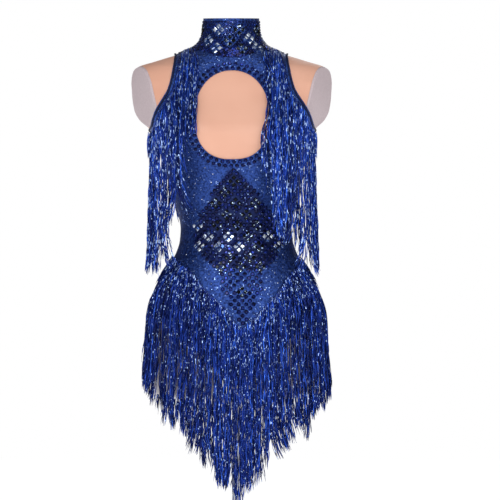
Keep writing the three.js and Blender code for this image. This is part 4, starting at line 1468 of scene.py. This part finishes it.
taken = []
for z, column, clear in CLUSTERS:
    x = float(centre_front(z)) + column * CLUSTER_COLUMN
    cluster(x, z, clear_stones if clear else black_stones)
    taken.append((x, z))
lattice_spots = []
for top, bottom, column_step, row_step, size in LATTICE_PARTS:
    for row in range(int((top - bottom) / row_step) + 1):
        z = top - row * row_step
        half = float(lattice_half(z))
        shift = column_step / 2 * (row % 2)
        for column in range(-8, 9):
            offset = column * column_step + shift
            x = float(centre_front(z)) + offset
            room = CLUSTER_ROOM + size / 2 - 1
            free = all(abs(x - cx) + abs(z - cz) > room for cx, cz in taken)
            if abs(offset) <= half and free:
                lattice_spots.append((x, z, size))
x, z, size = np.array(lattice_spots).T
blue_stones.add(ROUND_STONE, front_angle(x, z), z, size, rng.uniform(0, 1, len(x)))
# the front cloth stores, point by point, how much painted shade it takes behind the lattice
corners = np.array([tuple(vertex.co) for vertex in front_cloth.data.vertices]) / MM
level = corners[:, 2]
inside = (lattice_half(level) - np.abs(corners[:, 0] - centre_front(level))) / LATTICE_SHADE_SIDE_EASE
inside = np.minimum(inside, np.minimum(level - LATTICE_SHADE_LOW, LATTICE_SHADE_HIGH - level) / LATTICE_SHADE_EASE)
ground_shade = front_cloth.data.attributes.new("ground", "FLOAT", "POINT")
ground_shade.data.foreach_set("value", PAINTED_SHADE_STRENGTH * np.clip(inside, 0, 1))
print("lattice stones:", len(x))

# %% [markdown]
# The collar is set so densely that little cloth shows. Small round stones fill rows that follow
# its top edge, and squares of four larger stones interrupt them at intervals.

# %% Stones on the collar
COLLAR_PITCH = 6.1
COLLAR_STONE = 5.4
COLLAR_CLUSTER_SPREAD = 7.2
COLLAR_CLUSTER_STONE = 10.2
COLLAR_CLUSTER_ROOM = 14.5
COLLAR_BARE_TOP = 7.5
COLLAR_BARE_LOW = 5.5
COLLAR_BARE_SIDE = 1.5
COLLAR_SIDE_DIP = 11
COLLAR_SEAM_BARE = 3.4
COLLAR_REACH = 104
COLLAR_LOWEST = 950
COLLAR_ROW_STEP = 5.3
SEAM_SAMPLES = 181
# height, angle in degrees from the front and whether it is clear; more of the same go round
COLLAR_FRONT_CLUSTERS = [
    (1018, -29, True), (1018, 18, False), (996, -3, False), (1000, 39, True), (996, -50, True),
    (980, -28, True), (979, 20, False), (981, 50, True), (1016, 66, False), (1018, -84, False),
    (998, 92, True),
]
COLLAR_BACK_CLUSTERS = [
    (1014, 120, True), (1016, 152, False), (996, 136, True), (1012, -118, True),
    (1016, -150, True), (996, -134, False), (994, 166, False), (992, -164, True),
    (998, -98, True),
]
collar_clusters = [
    (math.radians(angle), level, clear)
    for level, angle, clear in COLLAR_FRONT_CLUSTERS + COLLAR_BACK_CLUSTERS
]
SEAM_ANGLES = np.linspace(-math.pi, math.pi, SEAM_SAMPLES)
seam_low = np.full(SEAM_SAMPLES, 940.0)
seam_high = np.full(SEAM_SAMPLES, 1010.0)
for _ in range(24):
    seam_middle = (seam_low + seam_high) / 2
    above = above_neck_seam(surface(SEAM_ANGLES, seam_middle, 0.0)) > 0
    seam_high = np.where(above, seam_middle, seam_high)
    seam_low = np.where(above, seam_low, seam_middle)


def collar_seam_level(angle):
    """Height of the neck seam's plane where the surface crosses it at an angle."""
    return np.interp(wrapped(angle), SEAM_ANGLES, seam_high)


for angle, level, clear in collar_clusters:
    spread = DIAMOND * COLLAR_CLUSTER_SPREAD
    around = angle + spread[:, 0] / float(radius_at(np.array(angle), level))
    chosen = clear_stones if clear else black_stones
    chosen.add(SQUARE_STONE, around, level + spread[:, 1], COLLAR_CLUSTER_STONE, 0.0)
collar_total = 0
row_level = COLLAR_TOP - COLLAR_BARE_TOP
row = 0
while row_level > COLLAR_LOWEST:
    radius = float(radius_at(np.array(0.8), row_level))
    number = int(2 * math.pi * radius / COLLAR_PITCH)
    angle = (np.arange(number) + 0.5 * (row % 2)) / number * 2 * math.pi
    facing = np.abs(np.cos(angle))
    beside = np.abs(np.sin(angle))
    bare_low = COLLAR_BARE_SIDE + (COLLAR_BARE_LOW - COLLAR_BARE_SIDE) * facing**3
    keep = row_level > collar_seam_level(angle) + bare_low - COLLAR_SIDE_DIP * beside**8
    keep &= (beside * radius > COLLAR_SEAM_BARE) | (np.cos(angle) > 0)
    keep &= np.abs(out_of(surface(angle, row_level, 0.0))) < COLLAR_REACH
    for at, level, _ in collar_clusters:
        away = wrapped(angle - at) * radius
        keep &= np.abs(away) + np.abs(row_level - level) > COLLAR_CLUSTER_ROOM
    kept = angle[keep]
    blue_stones.add(ROUND_STONE, kept, row_level, COLLAR_STONE, rng.uniform(0, 1, len(kept)))
    collar_total += len(kept)
    slope = abs(float(half_at(row_level)) - float(half_at(row_level - 4))) / 4
    row_level -= COLLAR_ROW_STEP / math.sqrt(1 + slope**2)
    row += 1
print("collar stones:", collar_total)

# %% [markdown]
# A few tiny clear stones are strewn over the chest and the hips. They are kept apart from the
# lattice and from each other.

# %% Strewn stones
STREWN = 90
STREWN_GAP = 16
STREWN_TRIES = 4000
STREWN_STONE = 2.8
# how far they keep from the armholes, the keyhole, the neck seam and the lattice
STREWN_ROOM = (14, 18, 8, 9)
arm_room, hole_room, neck_room, lattice_room = STREWN_ROOM
angle = rng.uniform(-1.1, 1.1, STREWN_TRIES)
z = rng.uniform(480, 950, STREWN_TRIES)
spots = surface(angle, z, 0.0)
fits = (armhole_field(spots, 1) < -arm_room) & (armhole_field(spots, -1) < -arm_room)
fits &= (keyhole_field(spots) < -hole_room) & (above_neck_seam(spots) < -neck_room)
fits &= (z > LATTICE_SHADE_HIGH) | (np.abs(out_of(spots)) > lattice_half(z) + lattice_room)
chosen = []
for i in np.flatnonzero(fits):
    if all(np.linalg.norm(spots[i] - spots[j]) > STREWN_GAP for j in chosen):
        chosen.append(i)
    if len(chosen) == STREWN:
        break
turned = rng.uniform(0, 1, len(chosen))
clear_stones.add(ROUND_STONE, angle[chosen], z[chosen], STREWN_STONE, turned)
print("strewn stones:", len(chosen))

blue_piece = blue_stones.piece("sapphire_stones", blue_look, "blue_stones")
clear_piece = clear_stones.piece("clear_stones_set", clear_look, "clear_stones")
black_piece = black_stones.piece("black_stones_set", black_look, "black_stones")

# %% [markdown]
